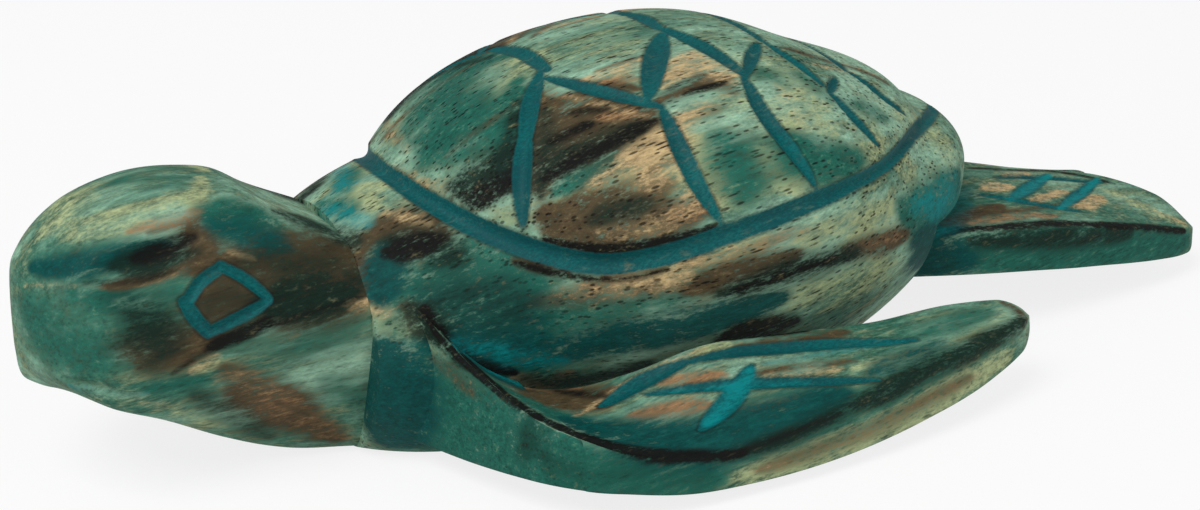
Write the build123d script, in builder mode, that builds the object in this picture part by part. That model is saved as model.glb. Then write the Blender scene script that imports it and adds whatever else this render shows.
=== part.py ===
"""Carved wooden sea turtle: six carved blanks glued together on six hidden dowels.

Lengths are in mm.  Z is up, the head looks towards -Y and the turtle's left side is +X.
The flat belly lies on Z = 0 and the middle of the shell stands over the origin.
"""
import math
import os

from build123d import *

# shell dome, tipped so that its rim climbs a little towards the tail
shell_half_width = 26.4
shell_half_length = 31.8
shell_rise = 15.0
shell_ahead = 0.8
shell_tilt = 2.4
rim_height = 23.0

# body under the rim, tipped so that the tail end rides a little higher
hull_half_width = 25.0
hull_half_length = 40.0
hull_rise = 11.5
hull_drop = 22.0
hull_height = 18.0
hull_tilt = 3.5

# chest that carries the neck
chest_half_width = 19.5
chest_half_length = 27.0
chest_half_height = 15.8
chest_height = 12.2
chest_ahead = 22.0

# shoulders that reach out to the front flippers
shoulder_reach = 33.5
shoulder_front_ahead = 39.0
shoulder_height = 18.0

# glue faces, as distances ahead of the middle of the shell, and the step over the rear flippers
neck_joint_ahead = 40.0
front_joint_ahead = 27.0
rear_notch_height = 16.2

# head and neck
head_length = 32.2
head_half_width = 14.0
head_height = 31.0
eye_length = 10.4
eye_rise = 8.4
eye_line_width = 1.3
eye_line_depth = 0.9

# front flippers
front_flipper_length = 57.5
front_flipper_reach = 36.3
front_flipper_height = 12.3
flipper_clearance = 0.3

# rear flippers
rear_flipper_length = 45.5
rear_flipper_reach = 16.8
rear_notch_clearance = 0.2

# carved shell pattern
scute_groove_width = 1.6
scute_groove_depth = 0.9

# dowels and their blind holes
neck_dowel_radius = 2.5
neck_dowel_length = 18.0
neck_dowel_spread = 5.0
front_dowel_radius = 1.25
front_dowel_in_arm = 3.0
front_dowel_in_blade = 5.0
rear_dowel_radius = 1.6
rear_dowel_length = 14.0
dowel_clearance = 0.05
dowel_end_gap = 0.4

# how far a cutting tool runs past the wood
overrun = 60.0

# glue face of the rear flippers: share of the hull's half length
rear_joint_share = 0.6375

# eye on the head: share of the head's length, half width and height
eye_along_share = 0.466
eye_side_share = 0.886
eye_height_share = 0.69

# dowels in the flipper roots: share of the flipper's reach and height
front_dowel_side_share = 0.667
front_dowel_height_share = 0.553
rear_dowel_side_share = 0.5
rear_dowel_height_share = 0.76

# head sections from the neck joint to the beak: along, half width, underside, top
head_shares = [
    (0.0, 1.03, 0.0, 0.8),
    (0.2, 0.99, 0.03, 0.895),
    (0.42, 0.96, 0.16, 0.99),
    (0.64, 0.86, 0.285, 0.98),
    (0.86, 0.66, 0.4, 0.9),
    (1.0, 0.42, 0.5, 0.8),
]

# shoulder sections from front to back: along, half width, underside, outer top, inner half width, inner top
shoulder_shares = [
    (0.0, 0.34, 0.2, 0.95, 0.26, 1.05),
    (0.46, 0.61, 0.16, 0.81, 0.42, 0.98),
    (1.0, 1.0, 0.21, 0.5, 0.5, 0.62),
]

# front flipper sections from root to tip: along, outer side, inner side, then the heights of
# the outer underside, outer top, inner top and inner underside
front_flipper_shares = [
    (0.0, 0.923, 0.545, 0.309, 0.732, 0.78, 0.36),
    (0.13, 0.975, 0.628, 0.211, 0.545, 0.77, 0.4),
    (0.3, 1.0, 0.694, 0.179, 0.545, 1.0, 0.7),
    (0.48, 0.995, 0.7, 0.22, 0.585, 0.943, 0.68),
    (0.68, 0.959, 0.7, 0.325, 0.642, 0.846, 0.62),
    (0.86, 0.898, 0.705, 0.48, 0.7, 0.837, 0.64),
    (0.96, 0.837, 0.733, 0.618, 0.724, 0.805, 0.667),
    (1.0, 0.799, 0.755, 0.675, 0.724, 0.772, 0.691),
]

# rear flipper sections, read the same way
rear_flipper_shares = [
    (0.0, 0.87, 0.07, 0.54, 0.98, 1.0, 0.54),
    (0.16, 0.964, 0.07, 0.5, 0.84, 0.945, 0.53),
    (0.36, 1.0, 0.08, 0.45, 0.76, 0.87, 0.53),
    (0.6, 0.952, 0.115, 0.37, 0.63, 0.76, 0.5),
    (0.82, 0.869, 0.24, 0.295, 0.475, 0.675, 0.45),
    (0.95, 0.774, 0.41, 0.265, 0.375, 0.53, 0.37),
    (1.0, 0.702, 0.55, 0.275, 0.34, 0.42, 0.34),
]

# shell pattern: corners given as shares of the shell's half width and half length, left side
front_seam_share = (0.12, -0.49)
first_corner_share = (0.6, -0.26)
second_seam_share = (0.1, -0.03)
second_corner_share = (0.56, 0.07)
third_seam_share = (0.2, 0.3)
third_corner_share = (0.62, 0.4)
last_seam_share = (0.28, 0.6)
front_middle_share = (0.36, -0.66)
front_rim_share = (0.56, -0.79)
first_rim_share = (0.955, -0.24)
second_rim_share = (0.965, 0.1)
third_rim_share = (0.83, 0.48)
last_rim_share = (0.5, 0.82)
side_groove_shares = [
    (front_seam_share, first_corner_share),
    (first_corner_share, second_seam_share),
    (second_seam_share, second_corner_share),
    (second_corner_share, third_seam_share),
    (third_seam_share, third_corner_share),
    (third_corner_share, last_seam_share),
    (front_seam_share, front_middle_share),
    (front_middle_share, front_rim_share),
    (first_corner_share, first_rim_share),
    (second_corner_share, second_rim_share),
    (third_corner_share, third_rim_share),
    (last_seam_share, last_rim_share),
]
seam_shares = [front_seam_share, second_seam_share, third_seam_share, last_seam_share]

# places that follow from the sizes above
eye_ahead = neck_joint_ahead + eye_along_share * head_length
eye_side = eye_side_share * head_half_width
eye_height = eye_height_share * head_height
rear_joint_behind = rear_joint_share * hull_half_length
rear_flipper_height = rear_notch_height - rear_notch_clearance
neck_dowel_upper_height = chest_height + neck_dowel_spread
neck_dowel_lower_height = chest_height - neck_dowel_spread
front_dowel_side = front_dowel_side_share * front_flipper_reach
front_dowel_height = front_dowel_height_share * front_flipper_height
rear_dowel_side = rear_dowel_side_share * rear_flipper_reach
rear_dowel_height = rear_dowel_height_share * rear_flipper_height

# which way a cutting block lies from the point it is set on
block_ahead = (Align.CENTER, Align.MAX, Align.CENTER)
block_under = (Align.CENTER, Align.CENTER, Align.MAX)
block_behind_and_under = (Align.CENTER, Align.MIN, Align.MAX)


def shell_point(share, side):
    """Point on the shell dome over a corner of the pattern; side is 1 for left, -1 for right."""
    across, along = share
    lift = math.sqrt(max(0.0, 1 - across**2 - along**2))
    on_dome = Vector(side * across * shell_half_width, along * shell_half_length, lift * shell_rise)
    return on_dome.rotate(Axis.X, shell_tilt) + Vector(0, -shell_ahead, rim_height)


def gouge(start_share, start_side, end_share, end_side):
    """Cut one straight V groove, deepest in its middle, between two corners of the shell pattern."""
    start = shell_point(start_share, start_side)
    end = shell_point(end_share, end_side)
    middle_across = (start_share[0] * start_side + end_share[0] * end_side) / 2
    middle_along = (start_share[1] + end_share[1]) / 2
    bulge = shell_point((middle_across, middle_along), 1) - (start + end) / 2
    run = end - start
    swell = bulge.length
    floor = swell / 2 - scute_groove_depth
    top = swell + scute_groove_depth
    spread = scute_groove_width / 2 * (top - floor) / scute_groove_depth
    with BuildSketch(Plane(origin=start, x_dir=bulge.cross(run), z_dir=run)) as notch:
        with BuildLine():
            Polyline((0, floor), (spread, top), (-spread, top), close=True)
        make_face()
    extrude(notch.sketch, amount=run.length, mode=Mode.SUBTRACT)


def flipper_blank(root_behind, length, reach, height, section_shares):
    """Loft one left flipper through its four-cornered sections."""
    sections = []
    for along, outer, inner, outer_low, outer_top, inner_top, inner_low in section_shares:
        with BuildSketch(Plane.XZ.offset(-root_behind - along * length)) as section:
            with BuildLine():
                Polyline(
                    (outer * reach, outer_low * height),
                    (outer * reach, outer_top * height),
                    (inner * reach, inner_top * height),
                    (inner * reach, inner_low * height),
                    close=True,
                )
            make_face()
        sections.append(section.sketch)
    loft(sections)


def lozenge(half_length, half_rise, mode):
    """Draw a lozenge on its points in the sketch at hand."""
    Polygon((-half_length, 0), (0, -half_rise), (half_length, 0), (0, half_rise), mode=mode)


def blind_hole(side, behind, height, radius, depth):
    """Bore a dowel hole along Y from a glue face; a negative depth bores towards the head."""
    with BuildSketch(Plane.XZ.offset(-behind)) as mouth:
        with Locations((side, height)):
            Circle(radius + dowel_clearance)
    extrude(mouth.sketch, amount=-depth, mode=Mode.SUBTRACT)


def dowel(side, start_behind, height, radius, length):
    """Turn a dowel that lies along Y."""
    with BuildSketch(Plane.XZ.offset(-start_behind)) as end:
        with Locations((side, height)):
            Circle(radius)
    extrude(end.sketch, amount=-length)


os.makedirs("parts", exist_ok=True)

with BuildPart() as shell_dome:
    Sphere(shell_half_width)
    scale(by=(1, shell_half_length / shell_half_width, shell_rise / shell_half_width))
    split(bisect_by=Plane.XY, keep=Keep.TOP)

with BuildPart() as hull_upper:
    Sphere(hull_half_width)
    scale(by=(1, hull_half_length / hull_half_width, hull_rise / hull_half_width))
    split(bisect_by=Plane.XY, keep=Keep.TOP)

with BuildPart() as hull_lower:
    Sphere(hull_half_width)
    scale(by=(1, hull_half_length / hull_half_width, hull_drop / hull_half_width))
    split(bisect_by=Plane.XY, keep=Keep.BOTTOM)

with BuildPart() as chest:
    Sphere(chest_half_width)
    scale(by=(1, chest_half_length / chest_half_width, chest_half_height / chest_half_width))

with BuildPart() as shoulders:
    for along, outer, low, outer_top, inner, inner_top in shoulder_shares:
        ahead = shoulder_front_ahead + along * (front_joint_ahead - shoulder_front_ahead)
        with BuildSketch(Plane.XZ.offset(ahead)):
            with BuildLine():
                Polyline(
                    (outer * shoulder_reach, low * shoulder_height),
                    (outer * shoulder_reach, outer_top * shoulder_height),
                    (inner * shoulder_reach, inner_top * shoulder_height),
                    (-inner * shoulder_reach, inner_top * shoulder_height),
                    (-outer * shoulder_reach, outer_top * shoulder_height),
                    (-outer * shoulder_reach, low * shoulder_height),
                    close=True,
                )
            make_face()
    loft()

with BuildPart() as body:
    with Locations((0, 0, hull_height)):
        add(hull_lower.part, rotation=(hull_tilt, 0, 0))
        add(hull_upper.part, rotation=(hull_tilt, 0, 0))
    with Locations((0, -chest_ahead, chest_height)):
        add(chest.part)
    with Locations((0, -shell_ahead, rim_height)):
        add(shell_dome.part, rotation=(shell_tilt, 0, 0))
    add(shoulders.part)
    # flat neck face, flat belly and the step that seats the rear flippers
    with Locations((0, -neck_joint_ahead, 0)):
        Box(overrun, overrun, overrun * 2, align=block_ahead, mode=Mode.SUBTRACT)
    Box(overrun * 2, overrun * 2, overrun, align=block_under, mode=Mode.SUBTRACT)
    with Locations((0, rear_joint_behind, rear_notch_height)):
        Box(overrun, overrun, overrun, align=block_behind_and_under, mode=Mode.SUBTRACT)
    for start_share, end_share in side_groove_shares:
        gouge(start_share, 1, end_share, 1)
        gouge(start_share, -1, end_share, -1)
    for seam_share in seam_shares:
        gouge(seam_share, -1, seam_share, 1)
    for height in (neck_dowel_upper_height, neck_dowel_lower_height):
        blind_hole(0, -neck_joint_ahead, height, neck_dowel_radius, neck_dowel_length / 2)
    for side in (front_dowel_side, -front_dowel_side):
        blind_hole(side, -front_joint_ahead, front_dowel_height, front_dowel_radius, -front_dowel_in_arm)
    for side in (rear_dowel_side, -rear_dowel_side):
        blind_hole(side, rear_joint_behind, rear_dowel_height, rear_dowel_radius, -rear_dowel_length / 2)

with BuildPart() as head_neck:
    for along, half_width, low, top in head_shares:
        with BuildSketch(Plane.XZ.offset(neck_joint_ahead + along * head_length)):
            with Locations((0, (low + top) / 2 * head_height)):
                Ellipse(half_width * head_half_width, (top - low) / 2 * head_height)
    loft()
    # lozenge eyes, cut in from each side
    for side in (1, -1):
        with BuildSketch(Plane.YZ.offset(side * (eye_side - eye_line_depth))):
            with Locations((-eye_ahead, eye_height)):
                lozenge(eye_length / 2, eye_rise / 2, Mode.ADD)
                lozenge(eye_length / 2 - eye_line_width, eye_rise / 2 - eye_line_width, Mode.SUBTRACT)
        extrude(amount=side * overrun, mode=Mode.SUBTRACT)
    for height in (neck_dowel_upper_height, neck_dowel_lower_height):
        depth = neck_dowel_length / 2 + dowel_end_gap
        blind_hole(0, -neck_joint_ahead, height, neck_dowel_radius, -depth)

# room that the blades leave free around the hull and the chest
with BuildPart() as hull_room:
    Sphere(hull_half_width + flipper_clearance)
    scale(by=(1, hull_half_length / hull_half_width, hull_drop / hull_half_width))

with BuildPart() as chest_room:
    Sphere(chest_half_width + flipper_clearance)
    scale(by=(1, chest_half_length / chest_half_width, chest_half_height / chest_half_width))

with BuildPart() as front_flipper_left:
    flipper_blank(
        -front_joint_ahead,
        front_flipper_length,
        front_flipper_reach,
        front_flipper_height,
        front_flipper_shares,
    )
    # the blade's inner side is pared back wherever it would come too near to the body
    with Locations((0, 0, hull_height)):
        add(hull_room.part, rotation=(hull_tilt, 0, 0), mode=Mode.SUBTRACT)
    with Locations((0, -chest_ahead, chest_height)):
        add(chest_room.part, mode=Mode.SUBTRACT)
    blind_hole(
        front_dowel_side,
        -front_joint_ahead,
        front_dowel_height,
        front_dowel_radius,
        front_dowel_in_blade + dowel_end_gap,
    )

with BuildPart() as front_flipper_right:
    mirror(front_flipper_left.part, about=Plane.YZ)

with BuildPart() as rear_flipper_left:
    flipper_blank(
        rear_joint_behind,
        rear_flipper_length,
        rear_flipper_reach,
        rear_flipper_height,
        rear_flipper_shares,
    )
    blind_hole(
        rear_dowel_side,
        rear_joint_behind,
        rear_dowel_height,
        rear_dowel_radius,
        rear_dowel_length / 2 + dowel_end_gap,
    )

with BuildPart() as rear_flipper_right:
    mirror(rear_flipper_left.part, about=Plane.YZ)

neck_dowel_start = -neck_joint_ahead - neck_dowel_length / 2
with BuildPart() as neck_dowel_upper:
    dowel(0, neck_dowel_start, neck_dowel_upper_height, neck_dowel_radius, neck_dowel_length)

with BuildPart() as neck_dowel_lower:
    dowel(0, neck_dowel_start, neck_dowel_lower_height, neck_dowel_radius, neck_dowel_length)

front_dowel_start = -front_joint_ahead - front_dowel_in_arm
front_dowel_length = front_dowel_in_arm + front_dowel_in_blade
with BuildPart() as front_flipper_dowel_left:
    dowel(front_dowel_side, front_dowel_start, front_dowel_height, front_dowel_radius, front_dowel_length)

with BuildPart() as front_flipper_dowel_right:
    dowel(-front_dowel_side, front_dowel_start, front_dowel_height, front_dowel_radius, front_dowel_length)

rear_dowel_start = rear_joint_behind - rear_dowel_length / 2
with BuildPart() as rear_flipper_dowel_left:
    dowel(rear_dowel_side, rear_dowel_start, rear_dowel_height, rear_dowel_radius, rear_dowel_length)

with BuildPart() as rear_flipper_dowel_right:
    dowel(-rear_dowel_side, rear_dowel_start, rear_dowel_height, rear_dowel_radius, rear_dowel_length)

body.part.label = "body"
head_neck.part.label = "head_neck"
front_flipper_left.part.label = "front_flipper_left"
front_flipper_right.part.label = "front_flipper_right"
rear_flipper_left.part.label = "rear_flipper_left"
rear_flipper_right.part.label = "rear_flipper_right"
neck_dowel_upper.part.label = "neck_dowel_upper"
neck_dowel_lower.part.label = "neck_dowel_lower"
front_flipper_dowel_left.part.label = "front_flipper_dowel_left"
front_flipper_dowel_right.part.label = "front_flipper_dowel_right"
rear_flipper_dowel_left.part.label = "rear_flipper_dowel_left"
rear_flipper_dowel_right.part.label = "rear_flipper_dowel_right"

for piece in (
    body,
    head_neck,
    front_flipper_left,
    front_flipper_right,
    rear_flipper_left,
    rear_flipper_right,
    neck_dowel_upper,
    neck_dowel_lower,
    front_flipper_dowel_left,
    front_flipper_dowel_right,
    rear_flipper_dowel_left,
    rear_flipper_dowel_right,
):
    export_step(piece.part, f"parts/{piece.part.label}.step")
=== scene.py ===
"""Looks of the carved wooden sea turtle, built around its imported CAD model.

Every size below is in millimetres until a mesh is made: Z is up, the head looks towards -Y and the
turtle's left side, the one that the camera sees, is +X.
"""
import logging
import math
from dataclasses import dataclass, field, replace
from enum import Enum
from typing import Any, ClassVar, Dict, List, Sequence, Tuple, Union

import bpy
import numpy as np
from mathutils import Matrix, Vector


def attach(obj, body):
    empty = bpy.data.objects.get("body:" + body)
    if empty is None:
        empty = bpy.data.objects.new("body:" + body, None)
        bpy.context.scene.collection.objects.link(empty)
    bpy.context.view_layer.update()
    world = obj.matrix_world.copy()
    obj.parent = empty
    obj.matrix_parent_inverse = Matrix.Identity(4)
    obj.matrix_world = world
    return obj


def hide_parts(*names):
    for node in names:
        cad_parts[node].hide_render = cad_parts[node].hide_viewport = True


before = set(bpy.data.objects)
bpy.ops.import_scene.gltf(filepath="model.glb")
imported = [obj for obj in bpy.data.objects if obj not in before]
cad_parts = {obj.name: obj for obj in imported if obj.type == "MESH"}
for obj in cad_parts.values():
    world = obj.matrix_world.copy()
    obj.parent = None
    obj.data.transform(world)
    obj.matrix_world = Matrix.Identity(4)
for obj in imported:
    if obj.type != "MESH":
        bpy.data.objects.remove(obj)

log = logging.getLogger("turtle")

Array = np.ndarray
Point = Tuple[float, float, float]
Colour = Tuple[float, float, float, float]
MM = 0.001
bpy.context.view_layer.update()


class Side(Enum):
    """Side of the turtle; the value is the sign of X there."""

    LEFT = 1
    RIGHT = -1

    @property
    def word(self) -> str:
        """Word used in the names of nodes and pieces."""
        return self.name.lower()


class Wash(Enum):
    """Colours that were brushed on; the value is the name of the mesh attribute that carries it."""

    PALE = "wash_pale"
    TEAL = "wash_teal"
    DEEP = "wash_deep"
    BROWN = "wash_brown"
    RUST = "wash_rust"
    TAN = "wash_tan"
    # SHADE: a dark green wash, partly dark patina and partly painted shade on lower and recessed parts
    SHADE = "wash_shade"
    # BLACK: near-black stain, and also painted shadow in the gap beside the front blade, under the eye and
    # along the upper edge of the rim line
    BLACK = "wash_black"
    BRIGHT = "wash_bright"


@dataclass(frozen=True)
class Gouge:
    """One painted gouge line: a leaf-shaped cut, widest in its middle.

    Attributes:
        path: corner points of the line, near the surface it is cut into.
        width: width in the middle.
        ends: share of that width that is left at the two ends.
        depth: depth in the middle.
        painted: whether the cut is filled with the line colour.
    """

    path: Tuple[Point, ...]
    width: float
    ends: Tuple[float, float] = (0.25, 0.25)
    depth: float = 0.5
    painted: bool = True


@dataclass(frozen=True)
class Stroke:
    """One soft brush stroke of colour.

    Attributes:
        wash: which colour.
        path: corner points of the stroke, near the surface it is painted on.
        radius: half width of the stroke.
        strength: cover in its middle, from 0 to 1.
    """

    wash: Wash
    path: Tuple[Point, ...]
    radius: float
    strength: float = 1.0


def soft_max(values: Sequence[Array], sharpness: float) -> Array:
    """Soft maximum: the logarithm of the summed exponentials, divided by the sharpness.

    Args:
        values: arrays of one shape.
        sharpness: how closely the result follows the larger value, per millimetre.

    Returns:
        An array a little above the largest value where two values are close.
    """
    stack = np.stack(values)
    top = stack.max(axis=0)
    return top + np.log(np.exp((stack - top) * sharpness).sum(axis=0)) / sharpness


def soft_min(values: Sequence[Array], sharpness: float) -> Array:
    """Soft minimum, the soft maximum of the values turned upside down."""
    return -soft_max([-value for value in values], sharpness)


def smooth_step(low: float, high: float, value: Array) -> Array:
    """Ramp from 0 at low to 1 at high with level ends: 3t^2 - 2t^3."""
    t = np.clip((value - low) / (high - low), 0.0, 1.0)
    return t * t * (3.0 - 2.0 * t)


def hump(share: Array) -> Array:
    """1 in the middle of a line and 0 at its ends: 4t(1 - t)."""
    return np.clip(4.0 * share * (1.0 - share), 0.0, 1.0)


def crowd_end(share: Array, start: float) -> Array:
    """Shares that crowd towards the end: unchanged up to the start, then a quarter of a sine."""
    rest = 1.0 - start
    return np.where(share < start, share, start + rest * np.sin((share - start) / rest * math.pi / 2))


def along_stations(table: Array, at: Array) -> Array:
    """Smooth curve through the rows of a table, a cubic between each two stations.

    The slope at a station is the finite difference of its neighbours, and between two stations
    the row is the cubic that has both rows and both slopes.

    Args:
        table: rows of (place, value, value, ...), places rising.
        at: places to read the table at.

    Returns:
        One row of values for each place.
    """
    knots, rows = table[:, 0], table[:, 1:]
    slopes = np.gradient(rows, knots, axis=0)
    k = np.clip(np.searchsorted(knots, at) - 1, 0, len(knots) - 2)
    step = (knots[k + 1] - knots[k])[:, None]
    t = ((at - knots[k])[:, None] / step).clip(0.0, 1.0)
    start = (1 + 2 * t) * (1 - t) ** 2 * rows[k] + t * (1 - t) ** 2 * step * slopes[k]
    return start + t**2 * (3 - 2 * t) * rows[k + 1] + t**2 * (t - 1) * step * slopes[k + 1]


def grid_normals(grid: Array) -> Array:
    """Unit normals of a grid that is open along its rows and closed around its columns.

    The normal is the cross product of the central differences along and around the grid.

    Args:
        grid: points, shaped (rows, columns, 3).

    Returns:
        Normals of the same shape.
    """
    along = np.gradient(grid, axis=0)
    around = np.roll(grid, -1, axis=1) - np.roll(grid, 1, axis=1)
    normal = np.cross(around, along)
    return normal / np.maximum(np.linalg.norm(normal, axis=2, keepdims=True), 1e-9)


def settle(points: Array, grid: Array, normals: Array) -> Array:
    """Move points straight onto a surface: onto the tangent plane of the nearest grid point.

    Args:
        points: points near the surface, shaped (count, 3).
        grid: the surface, shaped (rows, columns, 3).
        normals: its unit normals.

    Returns:
        The points on the surface.
    """
    flat, flat_normals = grid.reshape(-1, 3), normals.reshape(-1, 3)
    nearest = np.array([int(((flat - point) ** 2).sum(axis=1).argmin()) for point in points])
    height = ((points - flat[nearest]) * flat_normals[nearest]).sum(axis=1)
    return points - height[:, None] * flat_normals[nearest]


def divide_path(path: Sequence[Point], step: float) -> Array:
    """Points along a smooth line through some corners.

    Args:
        path: the corners.
        step: how far apart the points may be.

    Returns:
        The points, shaped (count, 3).
    """
    corners = np.array(path, float)
    runs = np.linalg.norm(np.diff(corners, axis=0), axis=1)
    places = np.concatenate([[0.0], runs.cumsum()])
    at = np.linspace(0.0, places[-1], max(2, int(places[-1] / step) + 2))
    return along_stations(np.column_stack([places, corners]), at)


def distance_along(flat: Array, path: Array) -> Tuple[Array, Array]:
    """Distance of each point from a broken line, and the share of the line's run at its nearest point.

    Args:
        flat: points, shaped (count, 3).
        path: corners of the line, shaped (corners, 3).

    Returns:
        Distances and shares, one each for each point.
    """
    runs = np.linalg.norm(np.diff(path, axis=0), axis=1)
    places = np.concatenate([[0.0], runs.cumsum()]) / max(runs.sum(), 1e-9)
    best, share = np.full(len(flat), 1e6), np.zeros(len(flat))
    for k in range(len(path) - 1):
        run = path[k + 1] - path[k]
        t = np.clip((flat - path[k]) @ run / max(run @ run, 1e-9), 0.0, 1.0)
        gap = np.linalg.norm(flat - path[k] - t[:, None] * run, axis=1)
        closer = gap < best
        best = np.where(closer, gap, best)
        share = np.where(closer, places[k] + t * (places[k + 1] - places[k]), share)
    return best, share


def near_path(flat: Array, path: Array, reach: float) -> Array:
    """Numbers of the points in the box around a line, grown by a reach on every side."""
    low, high = path.min(axis=0) - reach, path.max(axis=0) + reach
    return np.flatnonzero(((flat > low) & (flat < high)).all(axis=1))


def put(name: str, data: bpy.types.ID) -> bpy.types.Object:
    """New object in the scene, at the origin.

    Args:
        name: name of the object.
        data: its mesh, lamp or camera.

    Returns:
        The object.
    """
    thing = bpy.data.objects.new(name, data)
    bpy.context.scene.collection.objects.link(thing)
    return thing


@dataclass
class Carving:
    """A closed wooden form: a grid of rings with a pole at each end, carved, painted and made a mesh.

    Attributes:
        name: name of the finished piece.
        node: CAD node that it stands for.
        grid: points of the rings, shaped (rings, around, 3), counted so that faces look outwards.
        gouges: painted lines that are cut in.
        strokes: colours that are brushed on.
        line: distance of each point from the edge of the nearest painted line, below 0 inside the
            line, once carved.
        cover: how strongly each colour covers each point, once painted.
        FAR: line distance of the points that are away from every painted line.
        LINE_STEP: step along a gouge line.
        LINE_REACH: how far from its line a gouge is felt.
        STROKE_STEP: step along a stroke.
        STROKE_REACH: how many radii from its line a stroke is felt.
        SHARP_DEGREES: angle between two faces from which their edge is shaded sharp.
    """

    FAR: ClassVar[float] = 3.0
    LINE_STEP: ClassVar[float] = 0.8
    LINE_REACH: ClassVar[float] = 4.0
    STROKE_STEP: ClassVar[float] = 2.0
    STROKE_REACH: ClassVar[float] = 3.8
    SHARP_DEGREES: ClassVar[float] = 55.0

    name: str
    node: str
    grid: Array
    gouges: Sequence[Gouge] = ()
    strokes: Sequence[Stroke] = ()
    line: Array = field(init=False)
    cover: Dict[Wash, Array] = field(init=False)

    def carve(self) -> None:
        """Cut the gouges: sink the surface along its normal by a rounded V, and keep the edge distance.

        The cut is depth * (1 - d^2 / w^2) where d is the distance from the line and w its half width.
        """
        normals = grid_normals(self.grid)
        flat = self.grid.reshape(-1, 3)
        sunk, edge = np.zeros(len(flat)), np.full(len(flat), self.FAR)
        for gouge in self.gouges:
            path = settle(divide_path(gouge.path, self.LINE_STEP), self.grid, normals)
            near = near_path(flat, path, self.LINE_REACH)
            gap, share = distance_along(flat[near], path)
            first, last = gouge.ends
            ends = first + (last - first) * share
            leaf = ends + (1.0 - ends) * hump(share) ** 0.75
            half = gouge.width / 2 * leaf
            if gouge.painted:
                edge[near] = np.minimum(edge[near], gap - half)
            cut = gouge.depth * leaf * np.clip(1.0 - (gap / half) ** 2, 0.0, 1.0)
            sunk[near] = np.maximum(sunk[near], cut)
        self.line = edge
        self.grid = self.grid - sunk.reshape(self.grid.shape[:2])[..., None] * normals

    def paint(self) -> None:
        """Work out how strongly each brushed colour covers each point.

        A stroke's cover is its strength times the bell exp(-0.7 d^2 / r^2), where d is the distance
        from its line, counted shorter along the grain, and r its radius, which narrows to half at
        the two ends. It stays on the faces that look the way its line does, and strokes of one
        colour add up as 1 - (1 - a)(1 - b).
        """
        normals = grid_normals(self.grid)
        flat, facing = self.grid.reshape(-1, 3), normals.reshape(-1, 3)
        along_grain = np.array([1.0, 0.7, 1.0])
        self.cover = {wash: np.zeros(len(flat)) for wash in Wash}
        for stroke in self.strokes:
            path = settle(divide_path(stroke.path, self.STROKE_STEP), self.grid, normals)
            near = near_path(flat, path, self.STROKE_REACH * stroke.radius)
            gap, share = distance_along(flat[near] * along_grain, path * along_grain)
            radius = stroke.radius * (0.5 + 0.5 * np.sqrt(hump(share)))
            close = near[gap < gap.min() + 0.7]
            look = facing[close].mean(axis=0)
            turned = smooth_step(-0.1, 0.45, facing[near] @ look / max(np.linalg.norm(look), 1e-6))
            cover = stroke.strength * turned * np.exp(-0.7 * (gap / radius) ** 2)
            kept = self.cover[stroke.wash]
            kept[near] = 1.0 - (1.0 - kept[near]) * (1.0 - cover)

    def faces(self) -> List[Tuple[int, ...]]:
        """Quads between the rings, and a fan of triangles at each pole.

        Returns:
            The numbers of each face's points.
        """
        rings, around = self.grid.shape[:2]
        index = np.arange(rings * around).reshape(rings, around)
        turned = np.roll(index, -1, axis=1)
        quads = np.stack([index[:-1], turned[:-1], turned[1:], index[1:]], axis=-1).reshape(-1, 4)
        start, end = rings * around, rings * around + 1
        first = np.stack([turned[0], index[0], np.full(around, start)], axis=-1)
        last = np.stack([index[-1], turned[-1], np.full(around, end)], axis=-1)
        return [*map(tuple, quads.tolist()), *map(tuple, first.tolist()), *map(tuple, last.tolist())]

    def make(self, material: bpy.types.Material) -> None:
        """Carve, paint, build the mesh, hang it under the root empty and hide the CAD node it stands for.

        Args:
            material: finish of the piece.
        """
        self.carve()
        self.paint()
        flat = self.grid.reshape(-1, 3)
        poles = np.stack([self.grid[0].mean(axis=0), self.grid[-1].mean(axis=0)])
        mesh = bpy.data.meshes.new(self.name)
        mesh.from_pydata((np.concatenate([flat, poles]) * MM).tolist(), [], self.faces())
        self.store(mesh, "line", self.line, self.FAR)
        for wash, cover in self.cover.items():
            self.store(mesh, wash.value, cover, 0.0)
        mesh.shade_smooth()
        mesh.set_sharp_from_angle(angle=math.radians(self.SHARP_DEGREES))
        mesh.materials.append(material)
        piece = put(self.name, mesh)
        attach(piece, "root")
        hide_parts(self.node)
        log.info("%s stands for %s: %d faces", self.name, self.node, len(mesh.polygons))

    @staticmethod
    def store(mesh: bpy.types.Mesh, name: str, values: Array, at_poles: float) -> None:
        """Put one number for each point into the mesh, with a fixed number at the two poles."""
        attribute = mesh.attributes.new(name, "FLOAT", "POINT")
        attribute.data.foreach_set("value", np.append(values, [at_poles, at_poles]).astype(np.float32))


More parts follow.
